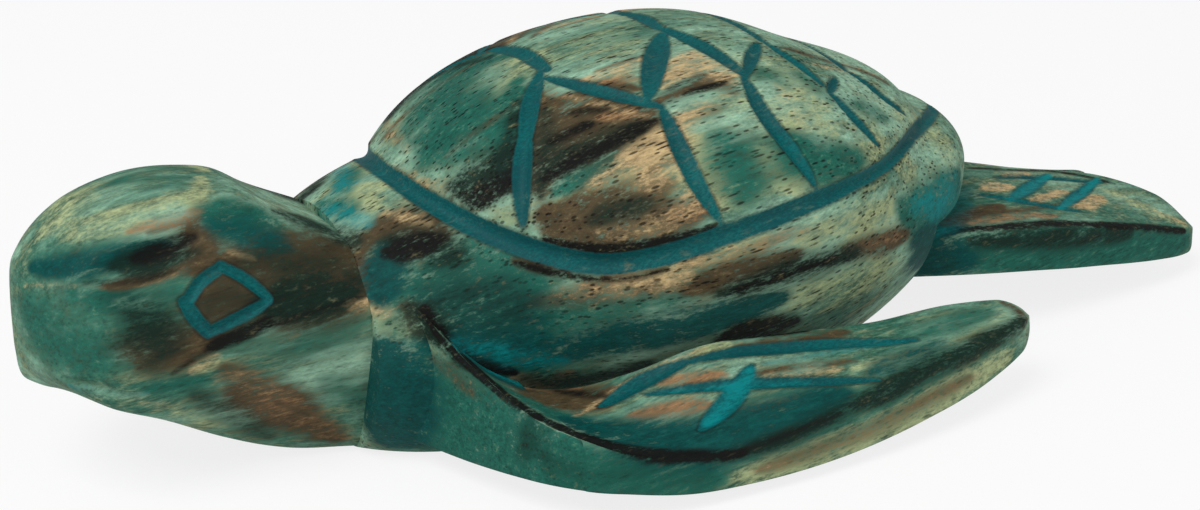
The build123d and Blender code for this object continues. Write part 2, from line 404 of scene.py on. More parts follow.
@dataclass(frozen=True)
class Ellipsoid:
    """An egg of wood: two half ellipsoids on one middle plane, tipped about the X axis.

    Attributes:
        centre: middle, as (behind, height).
        radii: half width, half length, rise over the middle plane and drop under it.
        tilt: degrees by which the tail end is lifted.
    """

    centre: Tuple[float, float]
    radii: Tuple[float, float, float, float]
    tilt: float = 0.0

    def reach(self, behind: Array, height: Array, angle: Array) -> Array:
        """How far a ray from the body's axis goes until it leaves the egg.

        The ray starts at (0, behind, height) and points to (sin angle, 0, cos angle). Put into the
        egg's equation it gives a quadratic, whose larger root is the reach; a ray that misses gets -9.

        Args:
            behind: where along Y the rays start.
            height: where along Z the rays start.
            angle: angle from straight up towards +X.

        Returns:
            The reach of each ray.
        """
        width, length, rise, drop = self.radii
        lean = math.radians(self.tilt)
        out, up = np.sin(angle), np.cos(angle)
        start_y = (behind - self.centre[0]) * math.cos(lean) + (height - self.centre[1]) * math.sin(lean)
        start_z = (height - self.centre[1]) * math.cos(lean) - (behind - self.centre[0]) * math.sin(lean)
        run_y, run_z = up * math.sin(lean), up * math.cos(lean)

        def root(depth: float) -> Array:
            """Larger root of the quadratic for one of the two halves.

            Args:
                depth: rise or drop of that half.

            Returns:
                The root for each ray.
            """
            a = (out / width) ** 2 + (run_y / length) ** 2 + (run_z / depth) ** 2
            b = start_y * run_y / length**2 + start_z * run_z / depth**2
            c = (start_y / length) ** 2 + (start_z / depth) ** 2 - 1.0
            inside = b * b - a * c
            found = (-b + np.sqrt(np.maximum(inside, 0.0))) / a
            return np.where(inside > 0.0, found, -9.0)

        over, under = root(rise), root(drop)
        return np.where(start_z + over * run_z >= 0.0, over, under)


@dataclass
class Body:
    """Shell, hull and chest in one form, with the shell pattern cut into it.

    The form is a surface over two parameters: the place along the body's axis, which climbs from the
    neck face to the tail, and the angle around that axis.

    Attributes:
        shell: egg of the domed shell.
        hull: egg of the belly and the sides under the shell.
        chest: egg that carries the neck and the shoulders.
        neck_face: place along Y where the head is set on.
        tail: last place along Y.
        axis_heights: height of the axis at the neck face and at the tail.
        step_behind: place along Y where the body steps up over the rear flippers.
        step_height: height of the underside behind that step.
        rear_flat: how deep the back of the shell is pared.
        rear_flat_behind: middle of the pared place.
        rear_flat_length: how far from its middle the paring has faded to about a third.
        row_offset: how much further out the lines beside the ridge lie on the right.
        blend: sharpness with which the eggs run together.
        floor_blend: sharpness of the edge at the flat underside.
        stroke_drift: shift of the right side's strokes along Y.
        rings: number of rings from the neck face to the tail.
        around: number of points in a ring.
    """

    shell: Ellipsoid = Ellipsoid((-1.1, 23.0), (26.4, 32.4, 15.4, 23.0), 2.4)
    hull: Ellipsoid = Ellipsoid((-0.5, 18.0), (25.0, 39.4, 12.0, 22.0), 3.5)
    chest: Ellipsoid = Ellipsoid((-22.0, 12.2), (19.5, 27.0, 16.5, 19.0))
    neck_face: float = -40.0
    tail: float = 38.8
    axis_heights: Tuple[float, float] = (12.3, 20.3)
    step_behind: float = 25.5
    step_height: float = 16.2
    rear_flat: float = 2.2
    rear_flat_behind: float = 20.0
    rear_flat_length: float = 9.0
    row_offset: float = 7.0
    blend: float = 1.1
    floor_blend: float = 1.6
    stroke_drift: float = 3.5
    rings: int = 236
    around: int = 400

    def axis_height(self, behind: Array) -> Array:
        """Height of the axis that the rings are drawn about."""
        start, end = self.axis_heights
        return start + (end - start) * (behind - self.neck_face) / (self.tail - self.neck_face)

    def surface(self, behind: Array, floor: Array) -> Array:
        """Rings of the body.

        The radius is the soft maximum of the three eggs' reaches, less a broad bell where the back
        of the shell is pared flat, and held off the floor plane by a soft minimum:
        X = r sin(angle), Z = axis + r cos(angle).

        Args:
            behind: place of each ring along Y.
            floor: height of the flat underside at each ring.

        Returns:
            Points shaped (rings, around, 3).
        """
        angle = np.linspace(0.0, 2 * math.pi, self.around, endpoint=False)[None, :]
        y = behind[:, None] + 0.0 * angle
        height = self.axis_height(y)
        eggs = (self.shell, self.hull, self.chest)
        reach = soft_max([egg.reach(y, height, angle) for egg in eggs], self.blend)
        flattened = self.rear_flat * np.exp(-(((y - self.rear_flat_behind) / self.rear_flat_length) ** 2))
        reach = np.maximum(reach - flattened * np.clip(np.cos(angle), 0.0, 1.0), 0.02)
        down = np.maximum(-np.cos(angle), 1e-3)
        reach = soft_min([reach, (height - floor[:, None]) / down], self.floor_blend)
        return np.stack([reach * np.sin(angle), y, height + reach * np.cos(angle)], axis=-1)

    def rings_along(self) -> Tuple[Array, Array]:
        """Places of the rings, closer together at the tail, with two more at the step.

        Returns:
            The places along Y, and the height of the underside at each.
        """
        share = crowd_end(np.linspace(0.0, 1.0, self.rings), 0.7)
        behind = self.neck_face + (self.tail - self.neck_face) * share
        behind = np.sort(np.append(behind, [self.step_behind - 0.02, self.step_behind + 0.02]))
        floor = np.where(behind > self.step_behind, self.step_height, 0.0)
        return behind, floor

    def on_shell(self, across: float, behind: float) -> Point:
        """Point of the shell's dome over a place in plan.

        Args:
            across: place along X.
            behind: place along Y.

        Returns:
            The point.
        """
        width, length, rise, _ = self.shell.radii
        centre_y, centre_z = self.shell.centre
        lift = max(0.0, 1 - (across / width) ** 2 - ((behind - centre_y) / length) ** 2)
        return across, behind, centre_z + rise * math.sqrt(lift) + math.radians(self.shell.tilt) * behind

    def shell_lines(self, side: Side) -> List[Gouge]:
        """Painted lines of one side of the shell; the left side also brings the lines across the ridge.

        The middle row of scutes isn't quite in the middle: on the right a line that is x from the
        middle on the left lies at x + row_offset * (1 - x / half width).

        Args:
            side: side of the turtle.

        Returns:
            The scute lines, the cross lines on the left, and the rim line in a wide and a narrow part.
        """
        half = self.shell.radii[0]
        lines = []
        for width, *plan in SCUTE_LINES:
            if side is Side.RIGHT:
                plan = [(-x - self.row_offset * (1.0 - x / half), y) for x, y in plan]
            lines.append(Gouge(tuple(self.on_shell(x, y) for x, y in plan), width))
        if side is Side.LEFT:
            for width, *plan in CROSS_LINES:
                lines.append(Gouge(tuple(self.on_shell(x, y) for x, y in plan), width, (0.6, 0.6)))
        rim = tuple((x * side.value, y, z) for x, y, z in RIM_LINE)
        lines.append(Gouge(rim[:10], 2.3, (0.8, 0.7), 0.6))
        lines.append(Gouge(rim[8:], 1.6, (1.0, 0.7), 0.6))
        return lines

    def make(self, material: bpy.types.Material) -> None:
        """Build the body as one carved piece.

        Args:
            material: finish of the body.
        """
        behind, floor = self.rings_along()
        grid = self.surface(behind, floor)
        lines = self.shell_lines(Side.LEFT) + self.shell_lines(Side.RIGHT)
        strokes = BODY_STROKES + NECK_STROKES + SHOULDER_STROKES + HOLLOW_RUST_AND_SHADOW_STROKES + TAIL_STROKES
        colours = [mark for side in Side for mark in mirrored(strokes, side, self.stroke_drift)]
        Carving("carved_body", "body", grid, lines, colours).make(material)


@dataclass
class Limb:
    """A limb with a four-cornered section that is carried along Y and rounded at its corners.

    Attributes:
        name: first part of the names of its pieces.
        node: CAD node that it stands for.
        stations: rows of (behind, outer low X, outer top X, inner X, outer low Z, outer top Z,
            inner top Z, inner low Z) for the left limb.
        start: first place along Y.
        end: last place along Y.
        tip: length over which the end is rounded off to nothing; 0 leaves a flat end.
        right_sag: how much lower the outer half of the right limb lies, as no two are carved alike.
        rounding: how often each corner is averaged with its neighbours.
        rings: number of rings from start to end.
        around: number of points in a ring.
        stroke_drift: shift of the right limb's strokes along Y.
    """

    name: str
    node: str
    stations: Array
    start: float
    end: float
    tip: float = 0.0
    right_sag: float = 0.0
    rounding: int = 14
    rings: int = 150
    around: int = 192
    stroke_drift: float = 2.0

    def surface(self, side: Side) -> Array:
        """Rings of the limb on one side.

        The four corners of each section are joined by straight sides, and the closed line is
        averaged with its neighbours, which rounds the corners. Towards the tip the section shrinks
        about its middle by the root of 1 - t^2.

        Args:
            side: side of the turtle.

        Returns:
            Points shaped (rings, around, 3), turned so that faces look outwards on both sides.
        """
        share = np.linspace(0.0, 1.0, self.rings)
        if self.tip:
            share = crowd_end(share, 0.6)
        behind = self.start + (self.end - self.start) * share
        out_low, out_top, inner, low, top, in_top, in_low = along_stations(self.stations, behind).T
        corners = np.stack(
            [
                np.stack([out_low, low], axis=1),
                np.stack([out_top, top], axis=1),
                np.stack([inner, in_top], axis=1),
                np.stack([inner, in_low], axis=1),
            ],
            axis=1,
        )
        t = np.arange(self.around) / self.around * 4
        first, part = t.astype(int), (t % 1.0)[None, :, None]
        line = corners[:, first] * (1 - part) + corners[:, (first + 1) % 4] * part
        for _ in range(self.rounding):
            line = line / 2 + (np.roll(line, 1, axis=1) + np.roll(line, -1, axis=1)) / 4
        if self.tip:
            into = np.clip((behind - (self.end - self.tip)) / self.tip, 0.0, 1.0)
            shrink = np.sqrt(np.maximum(1.0 - into**2, 1e-4))[:, None, None]
            middle = line.mean(axis=1, keepdims=True)
            line = middle + (line - middle) * shrink
        y = np.broadcast_to(behind[:, None], line.shape[:2])
        sag = self.right_sag * smooth_step(0.3, 0.7, share)[:, None] if side is Side.RIGHT else 0.0
        grid = np.stack([line[..., 0] * side.value, y, line[..., 1] - sag], axis=-1)
        return grid[:, ::-1] if side is Side.LEFT else grid

    def make(self, material: bpy.types.Material, gouges: Sequence[Gouge], strokes: Sequence[Stroke]) -> None:
        """Build the left and the right limb.

        Args:
            material: finish of the limb.
            gouges: painted lines of the left limb.
            strokes: brushed colours of the left limb.
        """
        for side in Side:
            node = self.node.format(side=side.word)
            name = f"{self.name}_{side.word}"
            lines, colours = mirrored(gouges, side), mirrored(strokes, side, self.stroke_drift)
            Carving(name, node, self.surface(side), lines, colours).make(material)


@dataclass
class Head:
    """Head and neck: rounded many-sided sections carried from the neck face to the beak.

    Attributes:
        stations: rows of (ahead, top Z, brow X, brow Z, cheek half width, jaw Z, underside Z, rise of
            the underside per millimetre to the side, lean of the throat in degrees).
        neck_face: place along Y where the neck meets the chest.
        beak: foremost place along Y.
        nose: length over which the front end is rounded off.
        muzzle: length over which the head narrows in plan.
        sharpness: power p of the planes; a larger one leaves harder edges.
        rings: number of rings from the neck face to the beak.
        around: number of points in a ring.
        stroke_drift: shift of the right side's strokes along Y.
    """

    stations: Array
    neck_face: float = -40.0
    beak: float = -72.0
    nose: float = 1.2
    muzzle: float = 7.0
    sharpness: float = 13.0
    rings: int = 190
    around: int = 360
    stroke_drift: float = 1.5

    def surface(self) -> Array:
        """Rings of the head.

        Around each section's middle the radius is the p-norm of five planes: with n the direction
        of a plane and h its distance, r = (sum of (n.d / h)^p)^(-1/p). The planes are the crown, the
        sloping brow, the cheek, the throat and the underside. Over the muzzle the section narrows as a
        rounded bow does in plan, by (1 - t^1.6)^0.55, and over the last nose it also shrinks in height.

        Returns:
            Points shaped (rings, around, 3).
        """
        share = np.sin(np.linspace(0.0, 1.0, self.rings) * math.pi / 2)
        ahead = self.neck_face + (self.beak - self.neck_face) * share
        rows = along_stations(self.stations[::-1], ahead)
        top, brow_x, brow_z, cheek, jaw, under, keel, lean = rows.T[:, :, None]
        angle = np.linspace(0.0, 2 * math.pi, self.around, endpoint=False)[None, :]
        out, up = np.abs(np.sin(angle)), np.cos(angle)
        middle = 0.5 * jaw + 0.5 * (0.55 * top + 0.45 * under)
        lean, flat = np.radians(lean), 1.0 / np.sqrt(1.0 + keel**2)
        planes = [
            (0.0, 1.0, top - middle),
            (0.72, 0.69, 0.72 * brow_x + 0.69 * (brow_z - middle)),
            (0.995, 0.10, 0.995 * cheek + 0.10 * (jaw - middle)),
            (np.cos(lean), -np.sin(lean), np.cos(lean) * cheek - np.sin(lean) * (jaw - 1.0 - middle)),
            (keel * flat, -flat, (middle - under) * flat),
        ]
        total = sum(
            np.clip((nx * out + nz * up) / np.maximum(away, 0.2), 0.0, None) ** self.sharpness
            for nx, nz, away in planes
        )
        reach = total ** (-1.0 / self.sharpness)
        into = np.clip((self.beak + self.nose - ahead) / self.nose, 0.0, 1.0)
        reach = reach * np.maximum(1.0 - into**4.0, 1e-6)[:, None] ** 0.4
        taper = np.clip((self.beak + self.muzzle - ahead) / self.muzzle, 0.0, 1.0)
        narrow = np.maximum(1.0 - taper**1.6, 1e-5)[:, None] ** 0.55
        y = np.broadcast_to(ahead[:, None], reach.shape)
        return np.stack([reach * np.sin(angle) * narrow, y, middle + reach * np.cos(angle)], axis=-1)[:, ::-1]

    def make(self, material: bpy.types.Material) -> None:
        """Build the head with its eyes, brow creases and mouth.

        Args:
            material: finish of the head.
        """
        lines = [line for side in Side for line in mirrored(HEAD_LINES, side)]
        strokes = HEAD_STROKES + NECK_STROKES
        colours = [mark for side in Side for mark in mirrored(strokes, side, self.stroke_drift)]
        Carving("carved_head", "head_neck", self.surface(), lines, colours).make(material)


def mirrored(marks: Sequence[Union[Gouge, Stroke]], side: Side, drift: float = 0.0) -> List[Any]:
    """Marks written for the left side, moved to one side; on the right they may drift along the body.

    Args:
        marks: gouges or strokes of the left side.
        side: side that is wanted.
        drift: shift along Y on the right side, so that the two sides don't look alike.

    Returns:
        The marks of that side.
    """
    shift = drift if side is Side.RIGHT else 0.0
    return [
        replace(mark, path=tuple((x * side.value, y + shift, z) for x, y, z in mark.path))
        for mark in marks
    ]


def brushed(table: Dict[Wash, Tuple[Tuple[Any, ...], ...]]) -> Tuple[Stroke, ...]:
    """Strokes of a table that lists them under their colours.

    Args:
        table: rows of (radius, strength, corner, corner, ...) for each colour.

    Returns:
        The strokes, one colour after the other.
    """
    return tuple(
        Stroke(wash, tuple(path), radius, strength)
        for wash, rows in table.items()
        for radius, strength, *path in rows
    )


def shallow(width: float, *path: Point) -> Gouge:
    """Short way to write a shallow painted line."""
    return Gouge(path, width, depth=0.35)


# Lines between the scutes in plan: width, then corners as (across, behind)
SCUTE_LINES: Tuple[Tuple[Any, ...], ...] = (
    (2.1, (3.0, -15.6), (8.3, -19.7), (12.6, -22.5)),
    (2.1, (9.6, -20.6), (14.4, -23.8), (16.9, -25.0)),
    (2.0, (4.6, -15.9), (9.5, -13.3), (13.1, -10.7), (15.6, -8.3)),
    (2.0, (15.6, -8.4), (20.3, -9.0), (23.6, -8.7), (25.5, -7.4)),
    (2.7, (3.2, -0.9), (8.9, -5.2), (13.9, -9.0)),
    (2.2, (1.0, -0.4), (6.0, 0.8), (10.4, 1.8), (14.4, 2.6)),
    (2.0, (14.4, 2.2), (19.8, 1.6), (23.0, 2.7), (25.2, 4.2)),
    (1.6, (7.5, 8.6), (11.1, 5.4), (14.2, 2.6)),
    (1.7, (6.7, 9.7), (10.4, 10.7), (15.4, 12.2)),
    (1.1, (12.6, 16.1), (15.2, 13.5), (16.6, 12.0)),
    (1.7, (16.2, 12.3), (19.3, 13.8), (21.0, 15.9)),
    (1.7, (9.0, 20.0), (10.8, 21.1), (13.2, 22.2), (14.0, 24.6)),
)
# Lines across the ridge, written in the same way
CROSS_LINES: Tuple[Tuple[Any, ...], ...] = (
    (2.0, (3.2, -15.0), (-3.0, -14.6), (-9.2, -15.0)),
    (2.0, (1.6, -0.5), (-3.5, 0.2), (-8.0, 0.0)),
    (1.7, (6.9, 9.7), (-2.0, 10.0), (-12.0, 9.7)),
    (1.5, (9.2, 20.0), (-2.0, 20.6), (-13.6, 20.0)),
)
# Line around the shell, from the neck to the tail along the left side
RIM_LINE: Tuple[Point, ...] = (
    (0.0, -32.5, 26.4), (6.5, -31.4, 25.8), (13.9, -27.2, 24.0), (17.8, -23.6, 22.8), (21.4, -18.8, 21.8),
    (23.8, -13.3, 22.4), (25.2, -7.4, 23.7), (25.7, -1.6, 24.7), (25.2, 4.0, 25.4), (23.9, 9.5, 25.8),
    (21.1, 15.7, 25.9), (15.4, 23.5, 26.2), (8.6, 31.4, 25.4), (4.0, 35.4, 24.8), (0.0, 36.4, 24.6),
)
# Four cuts around the eye, the brow crease and the mouth line
HEAD_LINES: Tuple[Gouge, ...] = (
    Gouge(((10.5, -54.3, 24.5), (11.3, -52.1, 22.8), (12.3, -50.3, 20.9)), 1.25, (0.9, 0.6)),
    Gouge(((12.4, -50.4, 20.8), (12.6, -53.4, 19.8), (12.3, -56.5, 18.8)), 1.35, (0.6, 0.9)),
    Gouge(((12.3, -56.6, 18.8), (12.0, -57.7, 20.4), (11.5, -58.4, 22.0)), 1.45, (0.9, 0.9)),
    Gouge(((11.6, -58.3, 21.9), (10.8, -56.5, 23.4), (10.5, -54.2, 24.4)), 1.3, (0.9, 0.9)),
    Gouge(((8.3, -56.1, 27.1), (9, -60.7, 25.7), (8.6, -64.5, 24.8), (7.4, -67.6, 24.6)),
          5.0, (0.4, 0.0), 1.2, False),
    Gouge(((7.3, -70.7, 14.6), (10.1, -67.4, 14.2), (10.7, -63.1, 13.0)), 1.1, (0.25, 0.25), 0.4, False),
)
# Brush strokes of the left side under their colours: radius, strength, then the corners
HEAD_STROKES: Tuple[Stroke, ...] = brushed({
    Wash.PALE: (
        (1.3, 0.45, (1.5, -69, 27.1), (1, -66.5, 28.9), (1.4, -63.2, 30.3)),
        (1.5, 0.42, (1.8, -68, 27.9), (4.4, -63.8, 29.2), (5.3, -59.1, 29.6), (5.1, -54.8, 29.9)),
        (0.9, 0.45, (4.3, -66.8, 27.5), (5.8, -63.4, 28.1), (6.3, -60.5, 28.6)),
        (0.7, 0.75, (1, -52.4, 30.4), (5.1, -54.2, 29.9), (6.7, -55.1, 28.7)),
        (1.5, 0.2, (12.8, -49.1, 15.9), (13.1, -44.5, 16.2), (13.2, -41.3, 16.2)),
        (0.9, 0.5, (11.6, -57.9, 14.4), (12.2, -55.8, 15.6)),
        (1, 0.45, (9.8, -59.6, 10.1), (8.1, -54.2, 6.4)),
        (0.9, 0.5, (7.7, -68.6, 14), (9.9, -65.9, 13.7), (10.8, -62.8, 12.9)),
        (0.9, 0.5, (12.9, -43.2, 18.6), (12.5, -40.1, 18.4)),
    ),
    Wash.TEAL: (
        (1, 0.45, (0, -62.3, 30.7), (1.2, -58.6, 31.1), (1.6, -53.8, 30.6)),
        (0.9, 0.4, (3.6, -58.5, 30.7), (3.1, -54.3, 30.5)),
        (0.7, 0.35, (1.9, -65.5, 29.4), (3.7, -61.5, 30.2), (4.3, -58.3, 30.4)),
        (1.8, 0.55, (2.9, -69.9, 25.3), (6.5, -65.7, 26.4), (7.4, -60.5, 26.8)),
        (2.2, 0.5, (9.3, -65.4, 22.9), (10.6, -61.4, 22.9), (11, -58.8, 23.1)),
        (5, 0.63, (3.3, -71, 20.8), (6.6, -69.3, 18), (9.7, -66.5, 17.1)),
        (2.5, 1, (6.8, -53.9, 28.6), (7.5, -50.5, 27.3), (8.4, -47.4, 25.4)),
        (2.5, 0.45, (12.6, -54.1, 16.9), (13.1, -47.6, 16.9), (13.1, -41.3, 17)),
        (1.3, 0.69, (11, -62.3, 13.6), (11.4, -56.9, 13.6)),
        (2.6, 0.3, (12.6, -48.6, 15.3), (12.6, -44.4, 14.4), (12.8, -41.1, 14.3)),
        (2.4, 0.5, (11.2, -44, 10.5), (10.6, -40.4, 7.2)),
        (2, 0.5, (6.8, -67.9, 23.5), (8.5, -65.6, 23.4), (9.9, -64.1, 22.8)),
    ),
    Wash.RUST: (
        (0.9, 0.55, (6.4, -61.6, 28.1), (6.9, -57.8, 28.5), (6.5, -54.6, 28.9)),
        (1, 0.45, (10.9, -44.9, 22), (11.4, -41.4, 20.4)),
        (1.2, 0.3, (12, -44.4, 20.5), (11.6, -40.9, 19.9)),
        (2, 0.32, (11.6, -55.5, 13.6), (10.8, -51.7, 11.2), (9.7, -47.8, 8.1)),
        (2, 0.32, (9.7, -50.4, 8.5), (8.7, -45.9, 5.4), (8.6, -41.1, 2.4)),
    ),
    Wash.BROWN: (
        (0.67, 0.67, (7.1, -59.9, 27.8), (7.1, -54.9, 28.4)),
        (1.23, 1, (7.7, -55.9, 27.8), (9.4, -55.6, 26), (10.4, -56.7, 24.7)),
        (0.9, 0.85, (8.1, -64.9, 23.7), (9.1, -60.9, 24), (10.2, -56.7, 25)),
        (2.69, 0.79, (11, -63.4, 17.9), (11.6, -60.7, 17.6), (12.1, -58, 17.7)),
        (1.46, 0.79, (11.8, -59.6, 17), (12.1, -57.9, 17.9), (12.4, -56.3, 18.2)),
        (3.14, 1, (11.8, -50.8, 21.8), (12.1, -44.9, 20.5), (11.3, -40.6, 20.2)),
        (2.46, 1, (11.8, -57, 21.7), (12.4, -52.7, 21.5)),
        (2, 0.85, (10.6, -53.7, 11.1), (9.1, -48.7, 6.9), (8.1, -42.5, 2.3)),
        (1.6, 0.6, (11.9, -55, 14.5), (11, -51.1, 11.6), (9.6, -45.6, 7.3)),
    ),
    Wash.DEEP: (
        (1.35, 0.85, (2.9, -70.2, 24.8), (6.4, -66.7, 25.6), (7.3, -62.3, 26.1), (7.6, -58.4, 26.5)),
        (2.13, 0.45, (7.4, -53.8, 28), (8.1, -50.8, 26.7), (9, -47.6, 24.9)),
        (1.8, 0.35, (7.7, -53.9, 27.7), (8.4, -50.9, 26.5), (9.4, -47.3, 24.4)),
    ),
    Wash.BLACK: (
        (1.2, 0.7, (7.5, -61.6, 25.6), (7.7, -58.7, 26.2), (7.9, -56.1, 26.9)),
        (0.5, 0.5, (7.2, -66.6, 24.1), (8.5, -62.6, 23.8), (9.9, -58.3, 24.7)),
        # Painted shadow: a black line under the lower edge of the eye
        (0.9, 0.75, (12.3, -56.3, 17.3), (12.7, -53.8, 18.1), (13, -50.6, 19)),
        (0.5, 0.5, (11.5, -60.2, 14.9), (12.1, -57.5, 16.4), (12.9, -52.1, 18), (13.1, -47.5, 18.9),
         (12.1, -40.1, 19.1)),
    ),
    Wash.SHADE: (
        (1.46, 0.68, (7.4, -63.6, 25.3), (7.9, -58.8, 25.8)),
        (1.3, 0.6, (7.9, -61.9, 24.7), (8.5, -59.1, 25.1), (9.4, -56.3, 26)),
        (1.6, 0.35, (10, -64.2, 22.4), (10.7, -61.5, 22.5), (11.2, -59.1, 22.6)),
        (2.91, 0.42, (10.5, -63.7, 21.1), (11.1, -62.9, 18.4), (11.3, -62.2, 16.2)),
        (2.69, 0.52, (11.1, -61.8, 20.9), (11.7, -60.4, 18)),
        (3.36, 0.35, (11, -51.5, 23.7), (11.1, -46.5, 22.3), (10.7, -41.1, 21)),
        (2.13, 0.81, (12.7, -50.6, 20.3), (12.7, -46.3, 19.8), (11.9, -41.7, 19.9)),
        (2.02, 0.47, (11.9, -56.6, 21.8), (12.4, -53.2, 21.5)),
        (0.5, 0.4, (11.4, -53.4, 12.9), (10.8, -50.2, 10.8)),
        (0.5, 0.4, (9.9, -49.4, 8.8), (9, -45.5, 5.9)),
        (1.68, 0.54, (10.8, -57.8, 12), (9.1, -53.9, 8), (7.4, -49.3, 3.8)),
        (3, 0.3, (10.5, -51.3, 24.3), (10.6, -46.3, 22.8), (10.7, -40.6, 20.8)),
        (1.6, 0.3, (7.5, -67.2, 23.6), (9.5, -64, 23.1)),
    ),
    Wash.TAN: (
        (0.5, 0.3, (2.4, -71.1, 22.9), (5.8, -68.6, 23.7), (8.3, -65, 23.5)),
        (0.5, 0.3, (9.3, -62.4, 23.5), (10, -59.7, 24.1), (10.1, -56.4, 25.1)),
        (0.5, 0.4, (9.6, -53.5, 25.7), (10.3, -50.7, 24.4)),
        (0.9, 0.4, (11.7, -58.3, 14.7), (12, -56.9, 15.6), (12.3, -55.8, 16.2)),
        (1.6, 0.3, (11.5, -53.9, 13.3), (10.7, -49.9, 10.5)),
        (0.9, 0.3, (10.6, -63.1, 12.2), (10.2, -60.4, 11)),
        (0.9, 0.6, (12.7, -42.5, 18.8), (12.3, -40, 18.7)),
    ),
    Wash.BRIGHT: (
        (0.8, 0.45, (7.1, -68.9, 13.8), (9.7, -66.3, 13.7), (10.8, -62.8, 13)),
    ),
})
